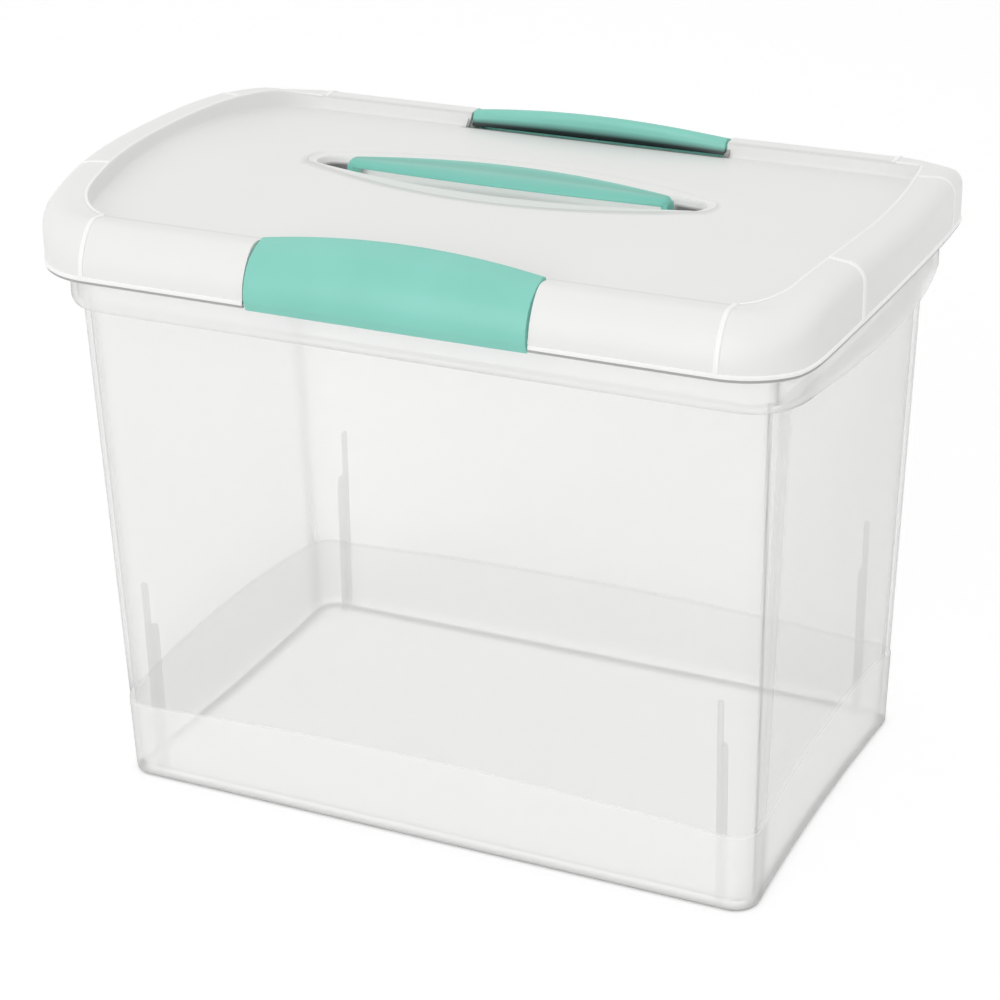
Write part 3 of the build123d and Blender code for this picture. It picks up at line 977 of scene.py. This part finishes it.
# ---- lid ----
@dataclass
class BoxLid:
    """The crowned lid: rolled rim, skirt, panel, latch bays and finger well."""

    shell: Material
    lit_milky: Material
    wall: float = 2.2
    skirt: Plan = Plan(187.5, 120.0, 16.0, 36.0)
    border: Plan = Plan(171.0, 99.5, 14.0, 24.0)
    skirt_z: float = 253.5
    end_rise: float = 12.0
    lip_out: float = 0.55
    lip_shade: float = 0.62
    crown: Crown = Crown(286.65, 9.65, 99.5)
    roll: float = 20.0
    roll_end: float = 7.0
    dome: float = 2.2
    end_lift: float = 2.3
    lift_reach: float = 110.0
    lift_turn: float = 0.75
    top_reach: float = 9.0
    rim_gap: float = 1.2
    panel_depth: float = 6.6
    meet: float = 5.5
    bay_wall: float = 96.0
    shelf_edge: float = 109.5
    shelf_z: float = 264.6
    well_len: float = 97.0
    well_wid: float = 28.0
    floor_len: float = 91.0
    floor_wid: float = 10.5
    tip: float = 5.0
    tip_share: float = 0.8
    well_floor: float = 271.5
    seam_share: float = 0.9
    seam_back: float = 4.0
    well_brow: float = 0.6
    brow_run: float = 0.35
    brow_share: float = 0.58
    tip_shade: float = 0.85
    tip_shade_x: tuple[float, float] = (72.0, 77.0)
    rib_t: float = 2.4
    rib_out: float = 0.5
    rib_side_x: float = 144.0
    rib_end_y: float = 61.0
    rib_turn: float = 14.0
    rib_side_run: float = 20.2
    rib_end_run: float = 16.4
    rib_foot: float = 1.2
    rib_spread: float = 1.6
    bead_out: float = 0.8
    sharp_deg: float = 38.0
    leg_x: float = 75.5
    leg_gap: tuple[float, float] = (1.8, 4.3)
    columns: Columns = Columns(split_bay=True)

    def edge(self) -> tuple[np.ndarray, np.ndarray, np.ndarray]:
        """The skirt's lower edge: places in plan, outward directions, heights."""
        plan = self.skirt.loop(self.columns)
        return plan, self.skirt.normals(self.columns), self.foot_height(plan[:, 1])

    def foot_height(self, y: np.ndarray) -> np.ndarray:
        """Height of the skirt's edge."""
        return self.skirt_z + climb(y, self.end_rise)

    def roll_height(
        self, inset: np.ndarray, spot: np.ndarray, edge: np.ndarray, out: np.ndarray
    ) -> np.ndarray:
        """Height of the rim at a distance in from the skirt's outline.

        A circle of the roll's radius touches the upright skirt and the
        crowned top; further in, the crowned surface goes on. A sine's square
        adds a dome over the sides and a lift over the ends.

        Args:
            inset: Distance in from the skirt, for each point.
            spot: The points' places in plan.
            edge: The skirt's points in plan.
            out: The skirt's outward directions.

        Returns:
            The height of each point.
        """
        r = self.roll + (self.roll_end - self.roll) * out[:, 0] ** 2
        y_mid = edge[:, 1] - r * out[:, 1]
        lean = np.arctan(np.abs(out[:, 1]) * self.crown.slope(y_mid))
        centre = self.crown.height(y_mid) - r / np.cos(lean)
        rolled = centre + np.sqrt(r**2 - (r - np.clip(inset, 0, r)) ** 2)
        y_max = self.border.half_wid + self.top_reach
        top = self.crown.height(np.clip(spot[:, 1], -y_max, y_max))
        share = np.clip(inset / (self.skirt.half_wid - self.border.half_wid), 0, 1)
        dome = self.dome * out[:, 1] ** 4 * np.sin(math.pi * share) ** 2
        along = np.clip(np.abs(spot[:, 1]) / self.lift_reach, 0, 1) * self.lift_turn * math.pi
        lift = self.end_lift * out[:, 0] ** 2 * np.sin(along) ** 2
        return np.where(inset < r * (1 - np.sin(lean)), rolled, top) + dome + lift

    def rim_rings(self) -> Rings:
        """Rings from the lip of the skirt over the roll and into the pocket.

        Returns:
            The rings.
        """
        edge, out, low = self.edge()
        inner = self.border.loop(self.columns)
        deep = np.sum((edge - inner) * out, axis=1)
        side_top = self.roll_height(np.zeros(len(edge)), edge, edge, out)
        rings = [ring(edge, low + share * (side_top - low)) for share in (0.0, 0.15, 0.5)]
        reach = deep - self.rim_gap
        for a in np.radians(np.linspace(90, 0, 17)):
            inset = reach * (1 - math.sin(a))
            spot = edge - (edge - inner) * (inset / deep)[:, None]
            rings.append(ring(spot, self.roll_height(inset, spot, edge, out)))
        crest = rings[-1][:, 2]
        panel = self.crown.height(inner[:, 1], self.panel_depth)
        for into, z in (
            (-0.45, crest - 0.12), (-0.05, crest - 0.6), (0.05, crest - 1.4), (0.25, panel + 1.4),
            (0.5, panel + 0.6), (1.1, panel + 0.12), (2.0, panel),
        ):
            rings.append(ring(inner - into * out, z))
        spot = inner - self.meet * out
        return [*rings, ring(spot, self.crown.height(spot[:, 1], self.panel_depth))]

    def bay_ring(self, k: int, count: int, outside: np.ndarray) -> np.ndarray:
        """The same ring where a latch bay cuts through the rim.

        The first rings run in along the shelf, the next ones up the bay's
        back wall, and the last ones over its rounded edge onto the panel.

        Args:
            k: Which ring it is, from the lip inwards.
            count: How many rings the rim has.
            outside: The ring as it runs outside the bays.

        Returns:
            The ring's points, with those in the bays moved.
        """
        path = (
            (0.25, 0.25), (0.0, 0.9), (0.0, -2.6), (0.0, -1.2), (0.0, -0.7), (-0.15, -0.2),
            (-0.6, 0.0), (-1.2, 0.0), (self.border.half_wid - self.meet - self.bay_wall, 0.0),
        )
        step = k - count + len(path)
        run = (self.bay_wall + 0.8 - self.shelf_edge) * k / (count - len(path) - 1)
        v, z = self.shelf_edge + run, self.shelf_z
        if step >= 0:
            v = self.bay_wall + path[step][0]
            if step > 1:
                z = float(self.crown.height(np.array(v), self.panel_depth))
            z += path[step][1]
        x = self.skirt.loop(self.columns)[:, 0]
        bays = self.columns.bays()
        moved = np.column_stack([x, np.sign(outside[:, 1]) * v, np.full(len(x), z)])
        return np.where(bays[:, None], moved, outside)

    def lens(self, half_len: float, half_wid: float) -> np.ndarray:
        """A lens outline whose points match those of the other outlines.

        Its sides are arcs, and each tip is a quarter of an ellipse.

        Args:
            half_len: Half of its length.
            half_wid: Half of its width.

        Returns:
            The outline's points.
        """
        border = self.border.loop(self.columns)
        n = len(border) // 4
        sides = self.columns.in_bay + self.columns.along_side
        share = np.empty(n + 1)
        share[:sides] = self.tip_share * border[:sides, 0] / border[sides - 1, 0]
        share[sides:] = np.linspace(self.tip_share, 1.0, n + 2 - sides)[1:]
        rise = half_wid - self.tip
        radius = (half_len**2 + rise**2) / (2 * rise)
        x = (half_len - self.tip) * np.minimum(share / self.tip_share, 1)
        arc = half_wid - radius + np.sqrt(radius**2 - x**2)
        turn = np.clip((share - self.tip_share) / (1 - self.tip_share), 0, 1) * math.pi / 2
        return mirrored(np.column_stack([x + self.tip * np.sin(turn), arc * np.cos(turn)]))

    def panel_rings(self, start: np.ndarray) -> Rings:
        """Rings over the panel, in to the edge of the finger well.

        Args:
            start: The rim's last ring.

        Returns:
            The rings.
        """
        edge = self.lens(self.well_len, self.well_wid)
        rings = []
        for share in (0.05, 0.13, 0.24, 0.36, 0.48, 0.6, 0.72, 0.84, 0.94, 1.0):
            spot = start[:, :2] * (1 - share) + edge * share
            rings.append(ring(spot, self.crown.height(spot[:, 1], self.panel_depth)))
        return rings

    def well_rings(self, below: float) -> Rings:
        """Rings down the finger well's wall and over its floor.

        The brow and the fall both follow the smooth step 3t2 - 2t3.

        Args:
            below: How far the rings lie under the visible skin.

        Returns:
            Rings from the panel inwards, ending on the X axis.
        """
        edge = self.lens(self.well_len, self.well_wid)
        floor = self.lens(self.floor_len, self.floor_wid)
        top = self.crown.height(edge[:, 1], self.panel_depth) - below
        low = self.well_floor - below
        reach = self.floor_len * self.seam_share - self.seam_back
        shares = np.array([0.0, 0.05, 0.12, 0.2, 0.28, 0.36, 0.44, 0.51])
        shares = np.concatenate([shares, np.linspace(self.brow_share, 1.0, 9)])
        start = shares / self.brow_run, (shares - self.brow_share) / (1 - self.brow_share)
        brows, falls = (t * t * (3 - 2 * t) for t in np.clip(start, 0, 1))
        rings = []
        for share, brow, fall in zip(shares, brows * self.well_brow, falls):
            spot = edge * (1 - share) + floor * share
            rings.append(ring(spot, (top - brow) * (1 - fall) + low * fall))
        return [*rings, seam(floor * self.seam_share, low, reach)]

    def skin(self) -> Object:
        """The lid without its well as one sheet with a wall on its inner side.

        Returns:
            The piece.
        """
        rim = self.rim_rings()
        rim = [self.bay_ring(k, len(rim), outside) for k, outside in enumerate(rim)]
        rings = rim + self.panel_rings(rim[-1])
        # painted shade in the bays, under the back latch and along the crest
        marks = {"deep": self.painted_shade_marks(rim, len(rings)).ravel()}
        shape = np.vstack(rings), loop_quads(len(rings), len(rings[0]))[:, ::-1]
        lid = mesh_object("lid_shell", shape, self.shell, marks, False, self.sharp_deg)
        walled(lid, self.wall)
        return lid

    def painted_shade_marks(self, rim: Rings, count: int) -> np.ndarray:
        """How much painted grey shade each point gets: in the latch bays, as a dark line under the
        back latch, and as a soft line on the crest.

        Args:
            rim: The rings of the rim.
            count: How many rings the lid has.

        Returns:
            A number for each point of each ring.
        """
        bays = self.columns.bays()
        last = len(rim)
        marks = np.zeros((count, len(bays)))
        marks[: last - 4, bays] = 1.0
        marks[last - 4 : last, bays & (rim[0][:, 1] > 0)] = 0.9
        side = np.abs(self.skirt.normals(self.columns)[:, 1]) ** 4
        shades = np.array([0.1, 0.16, 0.16])[:, None]
        marks[last - 9 : last - 6, ~bays] = (shades * side)[:, ~bays]
        return marks

    def lip(self) -> Object:
        """The small lip along the skirt's edge, left out at the bays.

        Returns:
            The piece.
        """
        out = self.lip_out
        section = (
            (-1.2, -1.2), (-0.1, -1.2), (0.0, -1.1), (0.0, 0.0), (out - 0.3, 0.0), (out, 0.3),
            (out, 1.4), (out - 0.3, 1.75), (-0.3, 2.1), (-1.2, 2.1),
        )
        grid = swept(*self.edge(), section)
        keep = np.flatnonzero(~self.columns.bays())
        strips = np.split(keep, np.flatnonzero(np.diff(keep) > 1) + 1)
        shape = joined(bar(grid[strip]) for strip in strips)
        n = len(section)
        # painted shade: a dark line along the lip's underside
        under = np.tile(np.arange(n) < 4, len(shape[0]) // n) * self.lip_shade
        return mesh_object("lid_lip", shape, self.lit_milky, {"deep": under})

    def rib(self, start: tuple[float, float], turn: float) -> Shape:
        """A rib over the rim: a small rounded bar swept along the surface.

        Args:
            start: A place in plan on the skirt's outline.
            turn: Direction of the rib's outer end, in degrees from X.

        Returns:
            Points and faces of the closed bar.
        """
        way = np.array([math.cos(math.radians(turn)), math.sin(math.radians(turn))])
        cross = np.array([-way[1], way[0]])
        foot = np.array(start)
        low = float(self.foot_height(foot[1:])[0]) + self.rib_foot
        length = self.rib_end_run if abs(way[0]) > 0.5 else self.rib_side_run
        run = length * np.linspace(0, 1, 40) ** self.rib_spread
        spot = foot - run[:, None] * way
        edge, out = (np.broadcast_to(one, spot.shape) for one in (foot, way))
        z = self.roll_height(run, spot, edge, out)
        upright = np.linspace(low, z[0], 8)[:-1]
        reach = np.concatenate([np.zeros(len(upright)), run])
        line = np.column_stack([-reach, np.concatenate([upright, z])])
        along = np.gradient(line, axis=0)
        along /= np.linalg.norm(along, axis=1)[:, None]
        normal = np.column_stack([along[:, 1], -along[:, 0]])
        half, top = self.rib_t / 2, self.rib_out
        side = ((half, -0.5), (half, top - 0.35), (half - 0.15, top - 0.1), (half - 0.4, top))
        rows = []
        for across, lift in [*((-a, up) for a, up in side), *side[::-1]]:
            flat = line + lift * normal
            rows.append(np.column_stack([foot + flat[:, :1] * way + across * cross, flat[:, 1]]))
        return bar(np.stack(rows, axis=1))

    def ribs(self) -> Object:
        """Eight ribs over the rim, two on each side, and a bead at each end.

        Returns:
            The piece.
        """
        w, bow = self.skirt.half_wid, self.skirt.bow
        end_r = (w * w + bow * bow) / (2 * bow)
        at = self.skirt.half_len - end_r + math.sqrt(end_r**2 - self.rib_end_y**2)
        bars = []
        for sx in (-1, 1):
            for sy in (-1, 1):
                bars.append(self.rib((sx * self.rib_side_x, sy * w), sy * 90.0))
                turn = self.rib_turn if sx > 0 else 180 - self.rib_turn
                bars.append(self.rib((sx * at, sy * self.rib_end_y), sy * turn))
        return mesh_object("lid_ribs", joined(bars + self.beads()), self.lit_milky)

    def beads(self) -> list[Shape]:
        """A fine bead along the border's crest at each end.

        Returns:
            Points and faces of the two beads.
        """
        edge, out, _ = self.edge()
        inner = self.border.loop(self.columns)
        spot = inner + self.bead_out * out
        crest = self.roll_height(np.sum((edge - spot) * out, axis=1), spot, edge, out)
        section = ((-0.6, -0.8), (-0.6, 0.05), (-0.3, 0.28), (0.3, 0.28), (0.6, 0.05), (0.6, -0.8))
        grid = swept(spot, out, crest, section)
        return [bar(grid[side * inner[:, 0] > self.rib_side_x]) for side in (-1, 1)]

    def block(self, x: float) -> Object:
        """An upright block that cuts the slot for a leg of the handle.

        Args:
            x: Where the leg is.

        Returns:
            The block, to be removed once it has cut.
        """
        a, b = self.leg_gap
        low, high = self.well_floor - 6.0, self.well_floor + 3.0
        plan = [(x - a, -b), (x + a, -b), (x + a, b), (x - a, b)]
        points = np.array([(*spot, z) for z in (low, high) for spot in plan])
        sides = [[i, (i + 1) % 4, 4 + (i + 1) % 4, 4 + i] for i in range(4)]
        shape = points, [[3, 2, 1, 0], [4, 5, 6, 7], *sides]
        # its deep mark of 1 passes to the slot's cut faces as painted dark shade
        return mesh_object("leg_block", shape, self.shell, {"deep": np.ones(8)})

    def well(self) -> Object:
        """The finger well as a tray, with the slots for the legs.

        Its brow is a shallow step, and the deep part lies under the grip and
        runs out past the grip's tips, where painted grey shade darkens it.

        Returns:
            The piece.
        """
        visible = self.well_rings(0.0)
        rings = [*visible, *self.well_rings(self.wall)[::-1]]
        n = len(rings[0])
        i = np.arange(n)
        last = (len(rings) - 1) * n
        j = (i + 1) % n
        rim_faces = np.stack([last + i, last + j, j, i], -1)
        points = np.vstack(rings)
        shape = points, np.vstack([loop_quads(len(rings), n), rim_faces])
        near, far = self.tip_shade_x
        past = np.clip((np.abs(points[:, 0]) - near) / (far - near), 0, 1)
        row = np.arange(len(rings))
        inner = np.repeat((row >= len(visible) - 6) & (row < len(visible)), n)
        # painted shade in the pits past the grip's tips
        marks = {"deep": self.tip_shade * past * inner}
        tray = mesh_object("lid_well", shape, self.shell, marks, True, self.sharp_deg)
        blocks = [self.block(x) for x in (-self.leg_x, self.leg_x)]
        for block in blocks:
            change = tray.modifiers.new("leg_slot", "BOOLEAN")
            change.operation = "DIFFERENCE"
            change.solver = "EXACT"
            change.object = block
        graph = bpy.context.evaluated_depsgraph_get()
        settled = bpy.data.meshes.new_from_object(tray.evaluated_get(graph))
        tray.modifiers.clear()
        tray.data = settled
        for block in blocks:
            bpy.data.objects.remove(block)
        settled.set_sharp_from_angle(angle=math.radians(self.sharp_deg))
        return tray

    def build(self) -> list[Object]:
        """Makes the lid.

        Returns:
            The pieces.
        """
        pieces = [self.skin(), self.well(), self.lip(), self.ribs()]
        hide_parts("lid")
        for piece in pieces:
            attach(piece, "lid_body")
        return pieces


# ---- latches ----
@dataclass
class SideLatch:
    """A swing latch: arched outer face, lip, end plates, pins and hook."""

    name: str
    body: str
    side: int
    plastic: Material
    half: float = 64.0
    wall: float = 2.2
    axis: tuple[float, float] = (102.2, 273.8)
    pin_r: float = 1.5
    pin_len: float = 2.7
    pin_root: float = 1.0
    hub_r: float = 3.2
    hub_len: float = 3.0
    end_gap: float = 0.3
    plate_inset: float = 0.5
    hook_half: float = 58.0
    bevel: float = 0.45
    sharp_deg: float = 60.0
    outer: Outline = (
        (119.4, 251.5), (120.9, 257.0), (119.6, 264.0), (115.4, 270.9), (109.2, 275.6),
        (102.6, 277.9),
    )
    bulge: Outline = ((0.2, 0.0), (0.4, 0.0), (0.6, 0.4), (0.9, 1.0), (0.2, 2.4), (-2.6, 4.4))
    lip: Outline = ((100.6, 277.4), (99.6, 275.8), (97.8, 271.3))
    lip_bulge: Outline = ((-2.6, 4.2), (-2.4, 3.4), (0.0, 0.0))
    lip_shade: tuple[float, ...] = (0.4, 1.0, 1.0)
    plate_chord: Outline = ((102.2, 270.6), (110.5, 265.8), (117.6, 256.8))
    hook: Outline = (
        (118.3, 251.9), (115.8, 251.9), (114.2, 252.9), (114.2, 254.2), (118.8, 260.8),
        (119.4, 260.4),
    )

    def section(self, x: float) -> np.ndarray:
        """The outer line of the latch, whose points bulge by a parabola.

        Args:
            x: A place along the latch.

        Returns:
            Points in Y and Z.
        """
        arch = 1 - (x / self.half) ** 2
        skin = smooth_path(np.array(self.outer) + arch * np.array(self.bulge), 26)
        lip = np.array(self.lip) + arch * np.array(self.lip_bulge)
        bend = smooth_path(np.vstack([skin[-1], lip[:2]]), 7)[1:]
        face = lip[1] + np.linspace(0, 1, 5)[1:, None] * (lip[2] - lip[1])
        return np.vstack([skin, bend, face])

    def skin(self) -> Object:
        """The outer face and the lip, given the wall on the inner side.

        Returns:
            The piece.
        """
        near = self.half - 1.5
        xs = np.concatenate([[-self.half], np.linspace(-near, near, 33), [self.half]])
        lines = np.stack([self.section(float(x)) for x in xs])
        rows, columns = lines.shape[:2]
        places = np.broadcast_to(xs[:, None], (rows, columns))
        points = np.stack([places, self.side * lines[..., 0], lines[..., 1]], -1)
        faces = sheet_quads(rows, columns)
        if self.side < 0:
            faces = faces[:, ::-1]
        # painted dark shade along the lip's inner edge, which lies in a narrow gap
        deep = np.zeros((rows, columns))
        deep[:, -len(self.lip_shade) :] = self.lip_shade
        shape, marks = (points.reshape(-1, 3), faces), {"deep": deep.ravel()}
        name = self.name + "_skin"
        skin = mesh_object(name, shape, self.plastic, marks, False, self.sharp_deg)
        walled(skin, self.wall, True)
        bevelled(skin, self.bevel)
        return skin

    def upright(self, outline: Iterable[Sequence[float]], x0: float, x1: float) -> Shape:
        """A prism between two places, with its outline turned to this side."""
        return prism([(self.side * y, z) for y, z in outline], x0, x1)

    def plates(self) -> Object:
        """End plates, hubs, hinge pins and the hook that holds the flange.

        Returns:
            The piece.
        """
        line = self.section(self.half)
        centre = np.array(self.axis)
        away = centre - line
        inset = line + self.plate_inset * away / np.linalg.norm(away, axis=1)[:, None]
        end = self.half - self.end_gap
        outline = [*inset, *self.plate_chord]
        parts = [self.upright(outline, x, x + self.wall) for x in (-end, end - self.wall)]
        turn = np.linspace(0, 2 * math.pi, 33)[:-1]
        circle = np.column_stack([np.cos(turn), np.sin(turn)])
        hub = centre + self.hub_r * circle
        pin = centre + self.pin_r * circle
        for rim, x0, x1 in (
            (hub, -end, -self.half + self.hub_len),
            (hub, self.half - self.hub_len, end),
            (pin, -self.half - self.pin_len, -self.half + self.pin_root),
            (pin, self.half - self.pin_root, self.half + self.pin_len),
        ):
            parts.append(self.upright(rim, x0, x1))
        parts.append(self.upright(self.hook, -self.hook_half, self.hook_half))
        return mesh_object(self.name + "_plates", joined(parts), self.plastic)

    def build(self) -> list[Object]:
        """Makes the latch.

        Returns:
            The pieces.
        """
        pieces = [self.skin(), self.plates()]
        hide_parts(self.name)
        for piece in pieces:
            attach(piece, self.body)
        return pieces


# ---- handle ----
@dataclass
class CarryHandle:
    """The lens-shaped grip with its two legs and their barbs."""

    plastic: Material
    half_len: float = 77.4
    half_wid: float = 13.0
    tip: float = 3.6
    tip_run: float = 3.0
    dish: float = 0.5
    dish_share: float = 0.6
    dish_wid: tuple[float, float] = (4.0, 10.0)
    corner: tuple[float, float] = (0.62, 0.85)
    belt: float = 0.18
    low_mid: float = 280.3
    low_tip: float = 278.0
    top_mid: float = 284.4
    top_tip: float = 281.8
    leg_x: float = 75.5
    leg_t: float = 3.0
    leg_bevel: float = 0.3
    sharp_deg: float = 80.0
    leg_side: Outline = (
        (3.9, 279.4), (3.9, 268.3), (3.0, 268.3), (3.0, 256.5), (4.8, 256.5), (4.8, 255.9),
        (3.4, 253.9),
    )

    def grip(self) -> Object:
        """The grip as a closed skin.

        Its width follows a parabola along X, its top and bottom are flatter
        ones, and its section is a superellipse, widest near its bottom and
        dished on top by a cosine, that shuts at the tips by a quarter circle.

        Returns:
            The piece.
        """
        x = self.half_len * np.sin(np.linspace(-1, 1, 81) * math.pi / 2)[:, None]
        share = (x / self.half_len) ** 2
        wide = self.tip + (self.half_wid - self.tip) * (1 - share)
        low = self.low_mid + (self.low_tip - self.low_mid) * share
        top = self.top_mid + (self.top_tip - self.top_mid) * share
        past = np.maximum(np.abs(x) - (self.half_len - self.tip_run), 0) / self.tip_run
        shut = np.sqrt(np.clip(1 - past**2, 0, 1))
        turn = np.linspace(0, 2 * math.pi, 73)[:-1]
        c, s = np.cos(turn), np.sin(turn)
        across = np.sign(c) * np.abs(c) ** self.corner[0]
        up = np.sign(s) * np.abs(s) ** self.corner[1]
        y = wide * shut * across
        belt = low + self.belt * (top - low)
        rise = np.where(up > 0, (top - belt) * up, (belt - low) * up) * shut
        spread = np.clip(np.abs(y) / np.maximum(wide, 1e-6) / self.dish_share, 0, 1)
        hollow = (up > 0) * (0.5 + 0.5 * np.cos(math.pi * spread))
        least, most = self.dish_wid
        depth = self.dish * np.clip((wide - least) / (most - least), 0, 1)
        z = belt + rise - depth * hollow
        points = np.stack(np.broadcast_arrays(x, y, z), -1).reshape(-1, 3)
        # the dished top gets painted shade by its "dish" mark
        shape, marks = (points, loop_quads(*y.shape)), {"dish": hollow.ravel()}
        return mesh_object("handle_grip", shape, self.plastic, marks, True, self.sharp_deg)

    def legs(self) -> Object:
        """Two legs with shoulders and barbs.

        Returns:
            The piece.
        """
        outline = [*self.leg_side, *[(-y, z) for y, z in self.leg_side[::-1]]]
        half = self.leg_t / 2
        plates = (prism(outline, x - half, x + half) for x in (-self.leg_x, self.leg_x))
        legs = mesh_object("handle_legs", joined(plates), self.plastic)
        bevelled(legs, self.leg_bevel)
        return legs

    def build(self) -> list[Object]:
        """Makes the grip and its legs.

        Returns:
            The pieces.
        """
        grip, legs = self.grip(), self.legs()
        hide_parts("handle")
        for piece in (grip, legs):
            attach(piece, "handle_body")
        return [grip, legs]


# ---- studio ----
@dataclass
class Studio:
    """Pale floor, soft lamps and the camera."""

    camera_mm: tuple[float, float, float] = (486.1, -1026.7, 639.2)
    yaw: float = 0.4469
    pitch: float = 0.4234
    roll: float = -0.0176
    focal_px: float = 2710.6
    frame_px: float = 1000.0
    sensor_mm: float = 36.0
    clip_end: float = 50.0
    aim: tuple[float, float, float] = (0.0, 0.0, 0.14)
    lamp_size: float = 1.8
    white: tuple[float, ...] = (1, 1, 1, 1)
    paper: tuple[float, ...] = (0.85, 0.85, 0.85, 1)
    floor_half: float = 9.0
    floor_z: float = -0.0002
    floor_glow: float = 0.24
    surround: tuple[float, float] = (0.8, 1.0)

    def camera(self) -> None:
        """Sets the camera by its place and its three turns."""
        yaw, pitch, roll = self.yaw, self.pitch, self.roll
        level = Vector((-math.sin(yaw), math.cos(yaw), 0)) * math.cos(pitch)
        fwd = level - Vector((0, 0, math.sin(pitch)))
        right = Vector((math.cos(yaw), math.sin(yaw), 0))
        up = right.cross(fwd)
        side = math.cos(roll) * right + math.sin(roll) * up
        top = math.cos(roll) * up - math.sin(roll) * right
        data = bpy.data.cameras.new("camera")
        data.sensor_width = self.sensor_mm
        data.lens = self.focal_px * self.sensor_mm / self.frame_px
        data.clip_end = self.clip_end
        eye = linked("camera", data)
        turn = Matrix((side, top, -fwd)).transposed().to_4x4()
        eye.matrix_world = Matrix.Translation(Vector(self.camera_mm) * MM) @ turn
        bpy.context.scene.camera = eye

    def lamp(self, name: str, place: Sequence[float], watts: float) -> None:
        """Adds a soft area lamp that points at the box.

        Args:
            name: Its name.
            place: Where it hangs, in metres.
            watts: How strong it is.
        """
        data = bpy.data.lights.new(name, "AREA")
        data.shape = "SQUARE"
        data.size = self.lamp_size
        data.energy = watts
        lamp = linked(name, data)
        lamp.location = place
        lamp.rotation_mode = "QUATERNION"
        aim = Vector(self.aim) - Vector(place)
        lamp.rotation_quaternion = aim.to_track_quat("-Z", "Y")

    def seen(self, graph: Graph) -> Socket:
        """1 for rays from the eye, from shine and through clear walls."""
        return graph.rays("Is Camera Ray", "Is Glossy Ray", "Is Transmission Ray")

    def world(self) -> None:
        """A soft white surround, white where the eye meets it."""
        world = bpy.data.worlds.new("surround")
        graph = Graph(world)
        strength = graph.between(self.seen(graph), *self.surround)
        back = graph.add("Background", {"Color": self.white, "Strength": strength})
        graph.add("OutputWorld", {"Surface": back.outputs["Background"]})
        bpy.context.scene.world = world

    def floor(self) -> None:
        """A wide pale floor that takes the box's shadow."""
        graph = Graph(bpy.data.materials.new("matt_white_paper"))
        plain = graph.add("BsdfDiffuse", {"Color": self.paper, "Roughness": 1.0})
        strength = graph.maths("MULTIPLY", self.seen(graph), self.floor_glow)
        glow = graph.add("Emission", {"Color": self.white, "Strength": strength})
        both = graph.add("AddShader", {0: plain.outputs["BSDF"], 1: glow.outputs["Emission"]})
        graph.add("OutputMaterial", {"Surface": both.outputs["Shader"]})
        far = self.floor_half
        corners = [(-far, -far, 0), (far, -far, 0), (far, far, 0), (-far, far, 0)]
        mesh = bpy.data.meshes.new("floor")
        mesh.from_pydata(corners, [], [(0, 1, 2, 3)])
        mesh.materials.append(graph.owner)
        floor = linked("floor", mesh)
        floor.location.z = self.floor_z

    def build(self) -> None:
        """Makes the whole studio."""
        bpy.context.scene.view_settings.view_transform = "Standard"
        self.camera()
        self.world()
        self.floor()
        self.lamp("key_lamp", (-0.4, -2.6, 1.2), 17)
        self.lamp("top_lamp", (-0.4, 0.2, 2.5), 2)


def main() -> None:
    """Builds the box and its studio, and logs how many faces each piece has."""
    logging.basicConfig(level=logging.INFO, format="%(name)s: %(message)s")
    clear = ClearPolypropylene().build()
    milky = MilkyPolypropylene().build()
    # a lighter copy of the milky plastic: painted highlight on the ribs, beads and lip, which let
    # no light through
    lit_milky = MilkyPolypropylene(
        name="lit_milky_polypropylene",
        colour="#FAFAF9",
        highlight="#FDFDFC",
        rough=0.32,
        glow_through=0.0,
    ).build()
    green = TintedPolypropylene().build()
    # a darker copy of the green plastic for the handle: painted shade on its upward-facing grip
    shaded_green = TintedPolypropylene(
        name="shaded_sea_green_polypropylene",
        colour="#7DCCBD",
        shade="#76C5B5",
        glow_through=0.8,
    ).build()
    builders: list[Callable[[], list[Object]]] = [
        BoxBase(clear).build,
        BoxLid(milky, lit_milky).build,
        SideLatch("front_latch", "front_latch_body", -1, green).build,
        SideLatch("back_latch", "back_latch_body", 1, green).build,
        CarryHandle(shaded_green).build,
    ]
    for build in builders:
        for piece in build():
            log.info("built %s with %d faces", piece.name, len(piece.data.polygons))
    Studio().build()


if __name__ == "__main__":
    main()
